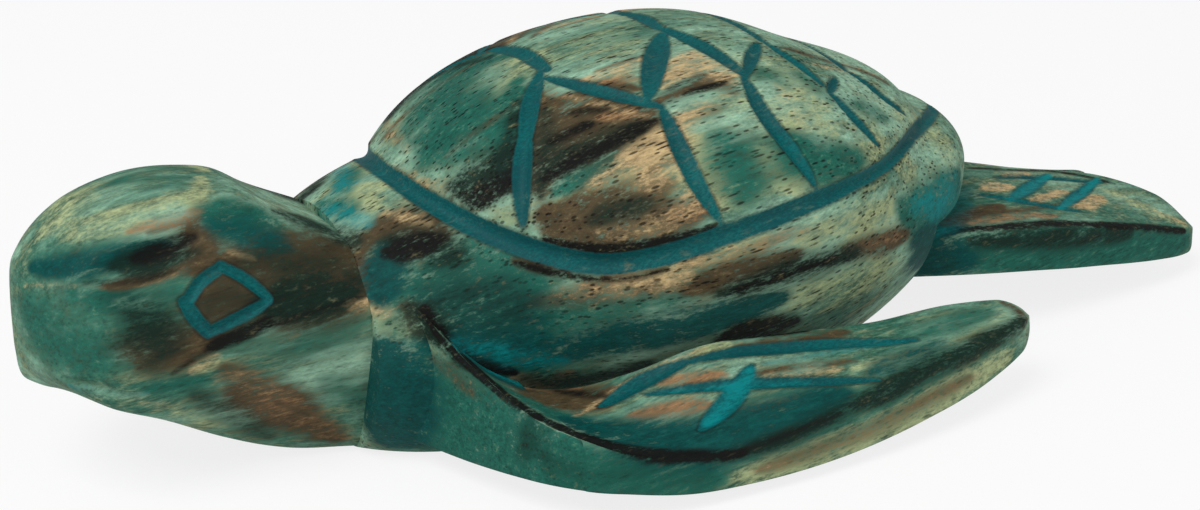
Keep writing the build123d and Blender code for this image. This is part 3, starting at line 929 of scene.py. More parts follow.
BODY_STROKES: Tuple[Stroke, ...] = brushed({
    Wash.BRIGHT: (
        (1.3, 0.51, (1.1, -39.6, 24.7), (4.5, -38.3, 24.8), (7.1, -37.3, 24.4)),
        (0.9, 0.38, (-0.8, -39.6, 24.7), (-0, -35.8, 26.4)),
        (2.6, 0.34, (21.1, 19.9, 20.8), (19.3, 24.4, 19.8), (15.9, 29.6, 20.4)),
    ),
    Wash.TEAL: (
        (1.7, 0.69, (-0.2, -39.6, 24.7), (4.4, -38, 24.9)),
        (6, 0.92, (14.7, -36, 18.8), (16.9, -31.1, 18.6), (19.7, -25.3, 17.3)),
        (4.5, 0.6, (14.8, -35, 19.5), (16.7, -31, 19), (18.8, -27, 17.9)),
        (3, 0.57, (20.5, -23.4, 16.6), (22.9, -17.4, 17.4), (24.9, -11, 18)),
        (4.2, 0.86, (3.8, -28.6, 30), (5.5, -24.5, 32.4), (7.1, -21.3, 33.6)),
        (2.7, 0.46, (-1.1, -30, 29.2), (-1.3, -25.3, 32.5)),
        (1.7, 0.3, (-1.8, -11.3, 37.3), (-2.1, -7.5, 37.9), (-2.9, -3.9, 38.2)),
        (1.2, 0.15, (2.8, -10.2, 37.4), (2.6, -3.8, 38.2)),
        (1.6, 0.86, (17.5, -21.5, 28.6), (18.4, -17.1, 30.5), (18.9, -12.1, 32.1)),
        (3.1, 0.66, (20.8, -4.6, 32.2), (23.2, -4.3, 30.1), (25, -4.4, 27.5)),
        (2.8, 0.85, (22.2, 3, 30.8), (24, 5.5, 28.6), (22.9, 10.9, 28)),
        (2.1, 0.57, (13.1, 4.6, 36.2), (15.5, 5.9, 35.1)),
        (2.1, 0.57, (16.8, 14.2, 31.9), (16.4, 19.2, 29.4)),
        (3, 0.8, (21.6, 18.5, 21), (19.4, 24.3, 19.3), (15.3, 30.6, 19.8)),
        (1.3, 0.8, (2.7, -18.1, 35.5), (9.3, -22.3, 32.6), (13.7, -25.3, 28.6)),
        (1.6, 0.5, (14, 9.6, 34.9), (17.3, 11.2, 32.8)),
    ),
    Wash.PALE: (
        (0.45, 0.9, (-0.5, -39.9, 24.5), (-2, -37.7, 25.5), (-4.9, -34.8, 26.1)),
        (1, 0.6, (-1.6, -35.6, 26.4), (3, -36.3, 26), (5.5, -36.3, 25.4)),
        (1.6, 0.5, (1.7, -36.1, 26.2), (5.8, -35.8, 25.5)),
        (1.7, 0.75, (13.2, -39.8, 17.7), (14.5, -38.1, 17.2), (15.8, -36.6, 15.9)),
        (2, 0.3, (15.2, -30.7, 21.3), (18.2, -26.7, 19.5)),
        (1.9, 0.4, (20.1, -23.2, 19.1), (22.9, -17.4, 19.6), (25.1, -11.1, 19.9)),
        (2, 0.35, (-4.2, -24.8, 32.4), (-3.4, -19.5, 34.9), (-1.5, -16.8, 35.9)),
        (0.9, 0.5, (1.9, -32, 27.4), (9.2, -29.9, 27.1)),
        (1.3, 0.5, (3.2, -20.7, 34.5), (0.3, -16.8, 36)),
        (1.1, 0.5, (-4.9, -29.5, 29.1), (-5.9, -23.6, 32.8)),
        (1, 0.55, (13.9, -27.2, 26.4), (16.2, -25.7, 25.6)),
        (1.5, 0.25, (5.3, -9.2, 37.3), (4.8, -2.8, 37.8)),
        (1.1, 0.35, (17.5, -20.6, 29.2), (18.6, -15.5, 31.1)),
        (1.7, 0.4, (20.1, -14.1, 30.4), (19.9, -9.7, 31.8)),
        (2.3, 0.3, (19.2, -7.6, 32.9), (18.6, -3.3, 33.8), (17.7, -0.4, 34.4)),
        (1.5, 0.5, (20.8, -7.2, 31.8), (24.4, -7.5, 27.9)),
        (1.5, 0.4, (24.5, -8.2, 26.8), (25.4, -3.8, 27)),
        (2.4, 0.5, (12, 6.8, 36.2), (16.9, 7.4, 34.2), (21.3, 8.3, 30.9)),
        (2, 0.5, (25.1, 2.4, 27.6), (23.5, 9.6, 27.6), (20.8, 15.4, 27.6)),
        (2.1, 0.45, (18.5, 2.4, 33.8), (21.2, 4.1, 32)),
        (3, 0.5, (14.8, 22.4, 28.4), (11.8, 29, 25), (15.1, 29.1, 22.5)),
        (2.5, 0.5, (18.9, 19.3, 25.7), (20.3, 20.3, 22.1)),
        (3, 0.55, (25.3, 0.7, 14.9), (24.4, 8.4, 14.9), (21.5, 17.7, 14)),
        (2, 0.4, (24.9, 9.9, 19.6), (22.7, 16.5, 19.8)),
        (2, 0.6, (18.4, -21.7, 27.4), (20, -16.9, 29.1), (20.5, -12.6, 30.6)),
        (2, 0.5, (21.3, -16.5, 27.9), (22.2, -12.4, 29), (22.6, -9.2, 29.1)),
        (1.6, 0.7, (20, -7.7, 32.3), (22.9, -8, 29.5), (24.8, -7.6, 26.9)),
        (1.6, 0.6, (22.7, -0.8, 30.9), (24.6, 0.2, 28.6), (25.5, 2.1, 26.7)),
        (2, 0.5, (7.7, 1, 37.3), (12.7, 2.8, 36.3)),
        (1.8, 0.5, (17.3, 15.2, 31.1), (19.8, 16.1, 28.3)),
        (2.2, 0.6, (21.6, -18.9, 21.2), (25, -11.7, 21.6), (26.4, -3.1, 22.8)),
        (2, 0.6, (26.3, 1.8, 22.1), (25.1, 8.8, 21.9), (22.6, 15.8, 21.7)),
        (2.4, 0.25, (-2.8, -15, 36), (-0.9, -10, 37.5), (4.1, -5.5, 37.9)),
    ),
    Wash.DEEP: (
        (1.7, 1, (10, -37.2, 22.9), (12, -38, 20.8), (13.1, -38.7, 18.9)),
        (2.13, 1, (20.1, -23.8, 12.3), (22.4, -17, 13.3), (24.1, -11, 14), (25.2, -5.2, 14.9),
         (25.5, -0.1, 15.3)),
        (1.9, 0.2, (21.6, -4.4, 31.6), (24.3, -4.3, 28.8)),
        (2.4, 0.9, (14.5, -39.9, 13.9), (14.6, -39.4, 9.1), (12.2, -38.4, 2.9)),
        (3.5, 0.5, (15.4, -34.7, 18.7), (17.5, -30.2, 18.1), (19.9, -24.8, 16.8)),
    ),
    Wash.BLACK: (
        (1.46, 1, (10.7, -36.8, 22.6), (11.4, -34.9, 23), (12.2, -32.2, 23.5)),
        (0.5, 0.75, (17.3, -26.2, 21.7), (20.1, -22.6, 20.8), (22.9, -17.4, 20.2), (24.6, -12.9, 21)),
        (1.7, 0.72, (12.2, -28.1, 26.9), (13.4, -26.1, 28.1), (13.4, -24.2, 29.5)),
        (1.12, 0.45, (10.6, -28.8, 27.3), (13.1, -27.4, 27)),
        (1.01, 0.81, (16, -21.9, 29.5), (16.6, -18.4, 31.2), (16.9, -14.6, 32.5), (16.8, -10, 33.8)),
        (0.9, 0.75, (13.3, -20, 32.2), (14, -15.8, 33.6)),
        (0.67, 0.62, (11.5, -16.8, 34.2), (13.4, -13.2, 34.6)),
        # Painted shadow: a thin black line along the upper edge of the rim line, where the shell's edge
        # overhangs the cut
        (0.5, 1, (18.6, -23.8, 24.2), (21.9, -19.1, 23.4), (24.3, -13.6, 23.9), (25.5, -7.7, 25)),
        (0.5, 0.81, (15.1, -5.4, 35.3), (14.7, -0.1, 35.8)),
        (0.5, 0.69, (13.8, -6.6, 35.7), (13, -1.5, 36.4)),
        (0.9, 0.81, (25.7, -5.7, 17.5), (26.1, -0.4, 18.3), (25.4, 7, 18.6)),
    ),
    Wash.SHADE: (
        (2.13, 0.68, (9.8, -36.3, 23.5), (12.2, -33.1, 23.2), (14.1, -31.2, 22.2)),
        (3.36, 0.22, (14.9, -33.9, 20), (17.2, -30.1, 18.7), (19.1, -26, 18.3)),
        (2.58, 0.81, (9.8, -28.9, 27.7), (11.6, -25.9, 29.4), (12.2, -23.3, 30.7)),
        (1.9, 0.68, (15.7, -21.1, 30.3), (16.2, -17.6, 31.8), (17, -11.6, 33.3)),
        (1.79, 0.61, (20.9, -19.2, 26.2), (22.6, -14.3, 27.5)),
        (1.9, 0.74, (25.6, -6.8, 17.6), (26.1, 0.8, 18.5), (24.7, 10.1, 18.3)),
        (4, 0.22, (14.7, -34.9, 19.6), (16.5, -30.8, 19.4), (18.8, -26.5, 18.3)),
        (3, 0.25, (15.8, -34.9, 17.9), (17.9, -30.5, 16.8), (20, -24.9, 16)),
        (1, 0.6, (5.9, -19.9, 34.5), (10.3, -22.9, 32), (14.1, -25.4, 28.2)),
        (1.2, 0.6, (9.5, -18.4, 34.2), (13.8, -20.7, 31.6), (16.7, -23, 28.1)),
    ),
    Wash.BROWN: (
        (1.9, 0.98, (8.3, -37.6, 23.7), (9, -34.8, 24.6), (12, -31.9, 23.7)),
        (1.5, 0.6, (19.6, -25.2, 17.9), (22.2, -19.2, 18.9), (24.2, -14.1, 19.8)),
        (0.9, 0.61, (17.2, -26.2, 21.9), (20.3, -22.2, 21.1)),
        (1.2, 0.4, (1.8, -32, 27.5), (7.2, -30.6, 27.4), (11.3, -28.6, 27.1)),
        (0.78, 0.5, (-5.7, -30.3, 28.2), (-6, -27.8, 30.2), (-6.6, -22.7, 33.1), (-7, -17, 35.3)),
        (0.67, 0.67, (6.6, -14.8, 35.6), (9.2, -12, 36.1), (12.3, -9.3, 35.8)),
        (0.5, 0.61, (7.3, -11.5, 36.6), (7.3, -5.5, 37.4)),
        (2.58, 1, (11.6, -18.2, 33.7), (13.8, -15.7, 33.7), (15.6, -11.4, 34.1)),
        (2.58, 0.98, (14.4, -20.4, 31.5), (15.4, -16.6, 32.6), (16.8, -10.9, 33.6)),
        (0.5, 0.79, (19.5, -13.8, 31.1), (19.6, -9.3, 31.8)),
        (0.5, 0.79, (20.7, -13.4, 30.1), (20.9, -8.7, 30.8)),
        (2.8, 0.79, (19.6, -22.1, 25.1), (21.9, -18, 25.6), (23.8, -13.4, 25.8), (24.6, -9.7, 26.5)),
        (1.9, 0.7, (19.3, -20.6, 27.3), (21.1, -16.3, 28.3), (22.3, -11.8, 29.2)),
        (1.23, 0.73, (15, -8.2, 35), (14.4, -4.3, 35.7), (14.1, 0.2, 36)),
        (1.6, 0.4, (17.9, -7.1, 33.7), (17.8, -2.8, 34.3)),
        (1.7, 0.65, (18, -23, 26.5), (19.8, -21.3, 25.7), (21, -18.6, 26.7)),
        (1.12, 0.61, (7.8, 11.7, 36), (7.5, 18, 33.4), (7.4, 23.6, 31.2), (8.4, 25.4, 30)),
        (1.57, 0.85, (25.2, -10.1, 18.7), (26.1, -5.3, 19.7), (26.3, 1.4, 20.2)),
        (1.57, 0.85, (25.2, 8.1, 18.9), (22, 18.4, 17.7)),
        (1.7, 0.85, (8.1, -17.8, 34.8), (13, -20.1, 32.3), (16.5, -22.7, 28.5)),
        (1.4, 0.7, (8.7, -16.3, 35.1), (12, -13.5, 35), (15.7, -10.4, 34.3)),
        (2.2, 0.7, (18.3, -22.7, 26.5), (20.5, -20.5, 25.4), (22.7, -17.3, 24.3)),
        (1.2, 0.5, (11.8, -2.7, 36.7), (16.3, -0, 35.1)),
        (1.6, 0.5, (23.7, -15.5, 18.9), (25.4, -9.6, 19.2), (26.3, -3, 19.7)),
    ),
    Wash.TAN: (
        (0.9, 0.4, (6.4, -35.8, 25.3), (8.4, -34, 25.2), (10.7, -32.3, 24.5)),
        (1.1, 0.45, (12.9, -39.9, 18), (14.2, -38.3, 17.6)),
        (1.6, 0.35, (20.4, -22.8, 19.2), (22.9, -17.4, 19.3), (25, -11.1, 19.4)),
        (0.9, 0.35, (-1, -32.2, 27.3), (5.7, -31, 27.6), (10.1, -29.2, 27.2)),
        (1.1, 0.55, (8, -13.1, 36.2), (8.4, -10.1, 36.7), (7.9, -6.4, 37.3)),
        (0.7, 0.4, (7.6, -17, 35.2), (12.4, -13.7, 34.8), (16.4, -10.2, 34)),
        (1.5, 0.5, (19.9, -13.4, 30.8), (19.2, -10.4, 32.3), (19.9, -8.8, 31.6)),
        (1.1, 0.55, (23.5, -10.2, 28.3), (24.4, -8.1, 26.9)),
        (1.4, 0.5, (13.1, -6.6, 35.9), (10.8, -3.3, 37), (9.2, -0.7, 37.4)),
        (1.3, 0.25, (17.2, -8.6, 33.5), (17.1, -4.3, 34.5)),
        (1.4, 0.3, (15.8, 5.2, 35.1), (20.4, 5.4, 32.4)),
        (0.7, 0.4, (6.3, 20.9, 32.4), (7.3, 25.8, 30.1)),
        (0.9, 0.4, (11.1, 12.8, 34.8), (8.8, 20.5, 32.1)),
        (0.7, 0.45, (25.1, -11.3, 21.4), (26.3, -4.7, 22.4)),
        (1.2, 0.45, (19, -18.6, 29.1), (19.7, -13.3, 31)),
        (2, 0.6, (18.6, -13.6, 31.8), (18.7, -11, 32.5), (18.5, -9.4, 32.7)),
        (1.8, 0.5, (21.4, -14.3, 29.1), (21.7, -11.2, 30), (21.8, -8.7, 30)),
        (1.4, 0.4, (21.6, -18.9, 25.1), (23.6, -14.4, 25.5), (24.5, -10.3, 26.3)),
        (1.2, 0.3, (17.3, -7.2, 34.1), (21, -7.7, 31.6)),
        (2.2, 0.55, (11.9, -4.9, 36.5), (10.8, -0.9, 37), (14.5, 0.5, 35.9)),
        (1.4, 0.2, (17.1, -5.9, 34.4), (16.7, -0.3, 35)),
        (1.3, 0.5, (22.5, -18.3, 20.6), (25.2, -10.6, 20.4)),
    ),
    Wash.RUST: (
        (0.9, 0.5, (21.4, -20.5, 19.7), (23.4, -16.3, 19.8)),
        (0.8, 0.5, (9.1, -11.9, 36.2), (10.7, -8.5, 36.4)),
        (1, 0.55, (13.8, -14.5, 34), (15.4, -10.8, 34.3)),
        (1.6, 0.55, (24.1, -11.9, 26.3), (24.4, -7.9, 27)),
        (1.3, 0.45, (25.1, -11.3, 21.2), (25.9, -7.6, 21.8), (26.4, -3.1, 22.4), (26.3, 2.5, 22.8)),
        (0.9, 0.4, (24.8, 9.8, 18.9), (22.4, 17.5, 18)),
    ),
})
ARM_STROKES: Tuple[Stroke, ...] = brushed({
    Wash.SHADE: (
        (5.6, 0.16, (15.4, -35.7, 5), (22.4, -33, 4.3), (29.8, -29.6, 5.6)),
        (1.8, 0.42, (28.5, -29.8, 9.7), (27.3, -30.9, 5.9)),
        (0.9, 0.8, (15.6, -36.1, 17.4), (17.8, -34.9, 15.4), (20.9, -33.1, 13.2)),
    ),
    Wash.PALE: (
        (0.8, 0.35, (17.2, -35.2, 14.5), (21.1, -33.3, 12), (25.9, -31.2, 9.8)),
        (1.1, 0.35, (17.2, -35.1, 11.9), (23, -32.5, 9.4)),
    ),
    Wash.BROWN: (
        (0.8, 0.3, (17.8, -34.9, 14.1), (22.8, -32.5, 11.2)),
    ),
    Wash.TEAL: (
        (1.2, 0.8, (22.5, -30.7, 11.5), (24.6, -28.5, 10), (28.1, -27, 9.2)),
    ),
})
BLADE_STROKES: Tuple[Stroke, ...] = brushed({
    Wash.SHADE: (
        (1.3, 0.7, (35.9, -12.6, 5.2), (36, -4.2, 5.8), (35.7, 2.1, 6.8), (34.9, 9.8, 7.5)),
        (1.57, 0.81, (35.5, 5, 7.1), (33.6, 14.9, 8.2), (31.7, 24.3, 8.7), (30.4, 28.4, 8.9)),
    ),
    Wash.BLACK: (
        (0.5, 0.45, (35.9, -12.1, 5.2), (36, -4.2, 6), (35.5, 4.4, 7.1)),
        (0.78, 0.62, (21.7, -24.3, 9.1), (25.3, -20.3, 9)),
    ),
    Wash.BROWN: (
        (1.9, 1, (22.6, -26.5, 9.3), (24.5, -22.8, 8.8), (25.5, -19.3, 9)),
        (0.67, 0.61, (29.8, -5.7, 10), (30.1, -0.3, 9.6), (30.7, 6.2, 9.1)),
        (1.01, 0.79, (26.9, -6.5, 11.3), (26.8, 0.6, 10.9), (26.5, 7.9, 10.4)),
        (0.78, 0.73, (27.1, 28.5, 9.7), (28.8, 29.3, 9.1), (30.9, 28.1, 8.5)),
        (1.2, 0.6, (36.2, -8.9, 2.8), (36.1, -0.5, 3.3), (35.2, 9.5, 4.4), (33.6, 19.1, 5.4)),
    ),
    Wash.DEEP: (
        (2.8, 1, (28.6, -26, 8.8), (32.4, -20.5, 7.5), (34.6, -15, 6.9), (35.1, -8.4, 7.2),
         (34.5, 1.4, 7.8)),
        (1.9, 0.62, (32.8, 7.1, 8.4), (30.7, 16.7, 9)),
    ),
    Wash.RUST: (
        (1.2, 0.7, (29, -19.2, 8.3), (30.1, -15.7, 8.5), (31.3, -12.3, 8.7)),
        (1, 0.62, (26.8, -14.9, 10), (28.1, -12.2, 10.2), (29.3, -8.8, 10.2)),
        (1, 0.55, (33.5, -9.7, 8), (33.6, -6.2, 8.1), (34, -2.1, 8)),
    ),
    Wash.TAN: (
        (0.7, 0.45, (30.5, -5.2, 9.5), (30.8, -0.8, 9.4), (31.4, 3.9, 9)),
        (0.45, 0.5, (27.3, -25.1, 8.7), (25.2, -20, 9.1), (25.1, -15.1, 10.4), (25.9, -9, 12)),
        (0.9, 0.3, (36.2, -9.9, 2.8), (36.1, -0.5, 3), (35.2, 9.7, 4.2), (33.2, 20.7, 5.4)),
    ),
    Wash.PALE: (
        (0.9, 0.8, (26, -10.3, 11.8), (26.2, -6.7, 12)),
        (1.2, 0.5, (31.5, 5.5, 8.9), (31.5, 11.3, 8.7), (31.4, 14.7, 8.8)),
        (1.4, 0.42, (31.5, 18.3, 8.8), (29.6, 26.6, 9.2)),
        (1.6, 0.85, (36.2, -11.3, 2.6), (36.2, -0.5, 2.7), (35.3, 8.8, 3.7), (33.9, 17.5, 4.8),
         (32.2, 25, 6.1)),
    ),
    Wash.TEAL: (
        (2.1, 0.57, (28.8, 16.4, 9.5), (28.2, 25.1, 9.6)),
    ),
    Wash.BRIGHT: (
        (1, 0.59, (29.2, -5.8, 10.2), (31.2, -8.8, 8.9), (33.1, -13.2, 7.5)),
        (0.6, 0.42, (29, -4.2, 10.4), (29.1, 6.6, 9.6), (29.4, 13.7, 9.1)),
        (0.6, 0.38, (27.6, -16.1, 9.2), (30, -9.9, 9.4), (31.8, -0.4, 8.6)),
    ),
})
REAR_STROKES: Tuple[Stroke, ...] = brushed({
    Wash.TEAL: (
        (2.5, 1, (16.2, 32.6, 10.3), (16.8, 43.6, 8.9), (15.7, 55.4, 7), (13.6, 67.6, 4.7)),
        (1.8, 0.8, (15.9, 31, 12), (16.8, 41.9, 10.7), (15.7, 55.2, 8.1)),
    ),
    Wash.SHADE: (
        (1.68, 0.72, (16.2, 32.7, 12.5), (16.8, 43.4, 10.9), (15.6, 56.6, 8.4)),
    ),
    Wash.BLACK: (
        (0.73, 1, (15.4, 29.1, 13.9), (15.4, 32.7, 13.6), (15.4, 37, 13), (15, 46.4, 11.6),
         (15, 55.7, 9.6), (13.5, 67.7, 6.1)),
        (0.5, 0.62, (1.8, 43, 14.9), (1.8, 49.4, 13.6), (1.7, 57.5, 11.9), (5, 63.7, 10.2)),
    ),
    Wash.BROWN: (
        (1.12, 0.98, (15.2, 28.3, 14.2), (12.5, 34.9, 13.8), (10.9, 40.6, 13.5)),
        (0.67, 0.61, (12.8, 38.2, 13.4), (10.9, 49.2, 11.8)),
    ),
    Wash.RUST: (
        (0.9, 0.6, (14.1, 33.7, 13.7), (13.4, 41.6, 12.8), (13.3, 47.1, 11.8)),
    ),
    Wash.TAN: (
        (1.1, 0.8, (6.9, 41.4, 14.2), (6.1, 46, 13.5)),
        (0.7, 0.65, (3.5, 47.2, 13.7), (2.5, 51.8, 12.9)),
        (0.8, 0.75, (9.8, 46.2, 12.7), (6.8, 54.1, 11.6)),
        (1.2, 0.8, (10.9, 52.7, 11.1), (8, 58.7, 10.4)),
        (0.7, 0.4, (10.4, 65.6, 8.1), (12.3, 69, 6.4)),
    ),
    Wash.BRIGHT: (
        (0.8, 0.64, (9.3, 43.3, 13.2), (2.5, 55.1, 12)),
        (0.7, 0.64, (11.1, 49.7, 11.6), (3.8, 61.9, 10.9)),
    ),
    Wash.PALE: (
        (1.2, 0.5, (6.1, 61, 10.4), (10.3, 64.8, 8.3), (12.4, 68.3, 6.5)),
    ),
})
# Strokes that run over a seam or lie beside one, so that both pieces get them
NECK_STROKES: Tuple[Stroke, ...] = brushed({
    Wash.BROWN: (
        (4.03, 1, (10.6, -52.4, 24.4), (10.7, -47.4, 23), (10.3, -42, 21.8), (11.4, -39.8, 20)),
    ),
    Wash.SHADE: (
        (1.9, 0.68, (5.3, -46, 26.7), (5.3, -41.9, 24.5), (7.7, -39.2, 23.1)),
    ),
})
SHOULDER_STROKES: Tuple[Stroke, ...] = brushed({
    Wash.BROWN: (
        (1.6, 0.7, (14.7, -36.8, 18.3), (16.2, -35.8, 16.9), (17.6, -35, 15.6)),
        (0.9, 0.49, (16.9, -35.4, 13.2), (21.5, -33.1, 10.4)),
    ),
    Wash.SHADE: (
        (1.4, 0.6, (14.8, -36.6, 18.1), (16.4, -35.7, 16.8), (17.8, -34.9, 15.4)),
    ),
    Wash.BRIGHT: (
        (1.3, 0.5, (18.8, -34.1, 15), (19, -28.4, 12.8), (20.3, -22.2, 11.3)),
    ),
    Wash.DEEP: (
        (2.35, 0.94, (17.9, -34.9, 15.1), (18.7, -29.8, 13.5), (20.1, -24, 12.6)),
        (3.8, 1, (15.2, -38.9, 12.9), (15.1, -38.5, 9.2), (13, -37.2, 2.9)),
    ),
    Wash.TEAL: (
        (8, 1, (16.4, -36, 9.1), (22.4, -32.9, 5.9), (31.7, -28.4, 5.5)),
    ),
    Wash.BLACK: (
        (0.73, 1, (15.5, -35.4, 18.1), (17.7, -34.8, 15.7), (21.7, -32.4, 12.9), (27.9, -29.1, 9.8)),
    ),
})
ELBOW_STROKES: Tuple[Stroke, ...] = brushed({
    Wash.BROWN: (
        (2.13, 0.98, (19.1, -29, 10.7), (21.7, -25.9, 9.3), (23.9, -24.1, 8.9)),
        (1.2, 0.6, (20.1, -27.2, 9.7), (23.4, -24.5, 9), (26, -21.4, 8.6)),
    ),
    Wash.TEAL: (
        (3, 0.92, (30.4, -29.2, 6.1), (34.6, -24, 5.3), (36, -14.9, 3.3)),
        (1.2, 0.8, (23.4, -27.9, 9.8), (26.9, -26.4, 9), (30.5, -23.9, 8.2)),
    ),
    Wash.SHADE: (
        (2.46, 0.34, (30.5, -29.2, 5.8), (34.6, -24, 5), (36, -14.9, 3.1)),
    ),
    Wash.BLACK: (
        (0.73, 1, (28.6, -28.5, 9.5), (32.4, -25, 8.1), (34.2, -21.6, 6.9), (35.7, -15.6, 5.7),
         (36, -11, 5)),
    ),
})
HOLLOW_RUST_AND_SHADOW_STROKES: Tuple[Stroke, ...] = brushed({
    Wash.BLACK: (
        # Painted shadow: this black stroke fills the dark gap between the hull and the inner edge of the
        # front blade
        (1.68, 1, (24, -5.9, 11.5), (24.4, -2.1, 12), (24.1, 2.9, 11.7)),
    ),
    Wash.SHADE: (
        (1.46, 0.68, (21.4, -26.6, 9.4), (20, -19.2, 8.4), (22, -13.5, 9.8)),
    ),
    Wash.RUST: (
        (1.1, 0.55, (19.1, -27.3, 10.3), (19.3, -24, 8.6), (22.6, -22.2, 9.1)),
    ),
})
TAIL_STROKES: Tuple[Stroke, ...] = brushed({
    Wash.BRIGHT: (
        (2.1, 0.42, (20.6, 21.3, 20.2), (18.8, 25.5, 18.9), (6.4, 38.8, 14.6)),
    ),
    Wash.TEAL: (
        (2.5, 0.8, (21.6, 19.3, 19.7), (19.1, 24.7, 17.2), (9.3, 36, 14.3)),
    ),
    Wash.DEEP: (
        (3.36, 1, (20.4, 21.8, 16), (15.2, 28.1, 11.2), (15.9, 31.1, 9.9)),
    ),
})
# Painted lines on the flippers, then the bare crease along the arm
BLADE_LINES: Tuple[Gouge, ...] = (
    shallow(1.7, (26.4, -11.6, 11.1), (27.2, -3.3, 10.9), (27.9, 6.2, 9.7), (29.6, 14.9, 9.2)),
    shallow(1.5, (27.3, -16.9, 9.2), (29.9, -9.8, 9.5), (31.7, -1.3, 8.6), (33.8, 7.1, 8)),
    shallow(2, (26.3, -21.6, 8.5), (25.6, -16.6, 9.5), (26.3, -11.5, 11.2)),
    shallow(2.3, (28.9, -5.4, 10.4), (31.2, -8.8, 8.9), (33.5, -14.3, 7.3)),
)
REAR_LINES: Tuple[Gouge, ...] = (
    shallow(1.3, (8.1, 39.6, 14.1), (10.1, 45.8, 12.5), (12, 52.3, 10.9)),
    shallow(1.8, (9.4, 43.5, 13.1), (2.6, 54.7, 12)),
    shallow(1.6, (11, 50, 11.7), (4.1, 61.3, 10.8)),
    shallow(1, (4, 45.2, 14), (3.4, 54.5, 12.2), (4.6, 62.2, 10.5)),
)
CREASE_LINES: Tuple[Gouge, ...] = (
    Gouge(((15.5, -35.4, 17.7), (17.9, -34.9, 15.8), (22.0, -32.6, 13.1), (27.8, -29.6, 10.2),
           (32.8, -25.2, 8.3), (34.5, -21.7, 7.1), (35.6, -15.6, 5.9)), 1.3, (0.3, 0.3), 0.35, False),
)

# CAD nodes that keep their shape
DOWELS: Tuple[str, ...] = (
    "neck_dowel_upper", "neck_dowel_lower", "front_flipper_dowel_left", "front_flipper_dowel_right",
    "rear_flipper_dowel_left", "rear_flipper_dowel_right",
)

# Sections of the limbs and of the head, row by row along Y
ARM_STATIONS: Array = np.array([
    (-39.0, 9.0, 10.5, 4.0, 3.4, 20.0, 21.0, 3.4),
    (-36.0, 14.5, 16.0, 6.0, 2.8, 18.0, 19.0, 3.0),
    (-33.0, 22.5, 21.4, 8.0, 2.9, 13.8, 15.6, 3.0),
    (-30.5, 28.8, 27.0, 10.0, 3.4, 10.8, 12.8, 3.6),
    (-27.0, 33.7, 32.6, 14.0, 3.6, 8.9, 9.9, 4.2),
    (-23.0, 35.3, 34.3, 16.0, 3.0, 7.5, 9.0, 4.2),
])
BLADE_STATIONS: Array = np.array([
    (-30.5, 28.8, 27.0, 17.0, 3.4, 10.8, 10.8, 4.0),
    (-27.0, 33.7, 32.6, 19.8, 3.6, 8.9, 9.6, 4.4),
    (-23.0, 35.3, 34.3, 21.6, 3.0, 7.5, 9.2, 4.6),
    (-17.0, 36.1, 35.4, 23.8, 1.8, 6.5, 10.4, 6.0),
    (-9.8, 36.3, 35.9, 25.2, 1.2, 6.7, 12.3, 7.8),
    (0.6, 36.2, 35.8, 25.4, 1.3, 7.2, 11.6, 7.8),
    (12.1, 35.0, 34.6, 25.3, 2.3, 7.9, 10.4, 6.8),
    (22.5, 33.0, 32.4, 25.4, 3.9, 8.6, 10.3, 7.0),
    (28.2, 31.3, 30.8, 26.2, 5.5, 8.9, 9.9, 7.2),
    (30.9, 30.0, 29.5, 26.9, 6.4, 8.9, 9.6, 7.4),
])
REAR_STATIONS: Array = np.array([
    (25.5, 14.6, 14.6, 0.4, 8.6, 15.4, 16.0, 8.6),
    (32.8, 16.2, 16.2, 0.4, 8.0, 13.5, 16.0, 8.5),
    (41.9, 16.8, 16.8, 0.4, 6.9, 12.1, 15.4, 8.2),
    (48.0, 16.5, 16.5, 0.4, 5.9, 11.0, 14.2, 7.8),
    (52.8, 16.0, 16.0, 0.5, 5.1, 10.1, 13.1, 7.4),
    (58.0, 15.4, 15.4, 0.9, 4.2, 9.0, 12.0, 6.8),
    (62.8, 14.8, 14.6, 2.6, 3.5, 7.6, 11.1, 6.2),
    (68.7, 13.4, 13.2, 6.2, 2.8, 6.1, 8.8, 5.0),
    (71.6, 12.3, 12.2, 8.2, 2.9, 5.4, 7.0, 4.4),
])
HEAD_STATIONS: Array = np.array([
    (-40.0, 23.6, 11.0, 20.4, 14.3, 18.6, 0.0, 0.0, 19.0),
    (-46.4, 27.2, 10.2, 23.3, 13.9, 18.2, 0.6, 0.0, 24.0),
    (-50.0, 29.7, 9.7, 24.9, 13.6, 17.8, 2.0, 0.0, 25.0),
    (-53.5, 30.6, 9.2, 26.2, 13.2, 17.4, 3.8, 0.0, 26.0),
    (-60.6, 31.0, 8.4, 26.4, 12.0, 15.6, 8.1, 0.04, 26.0),
    (-66.0, 29.3, 7.6, 25.2, 10.8, 13.2, 9.9, 0.18, 26.0),
    (-69.5, 26.8, 7.0, 23.5, 9.8, 12.2, 11.1, 0.3, 26.0),
    (-72.0, 23.9, 6.2, 21.8, 8.8, 11.8, 12.8, 0.32, 26.0),
])


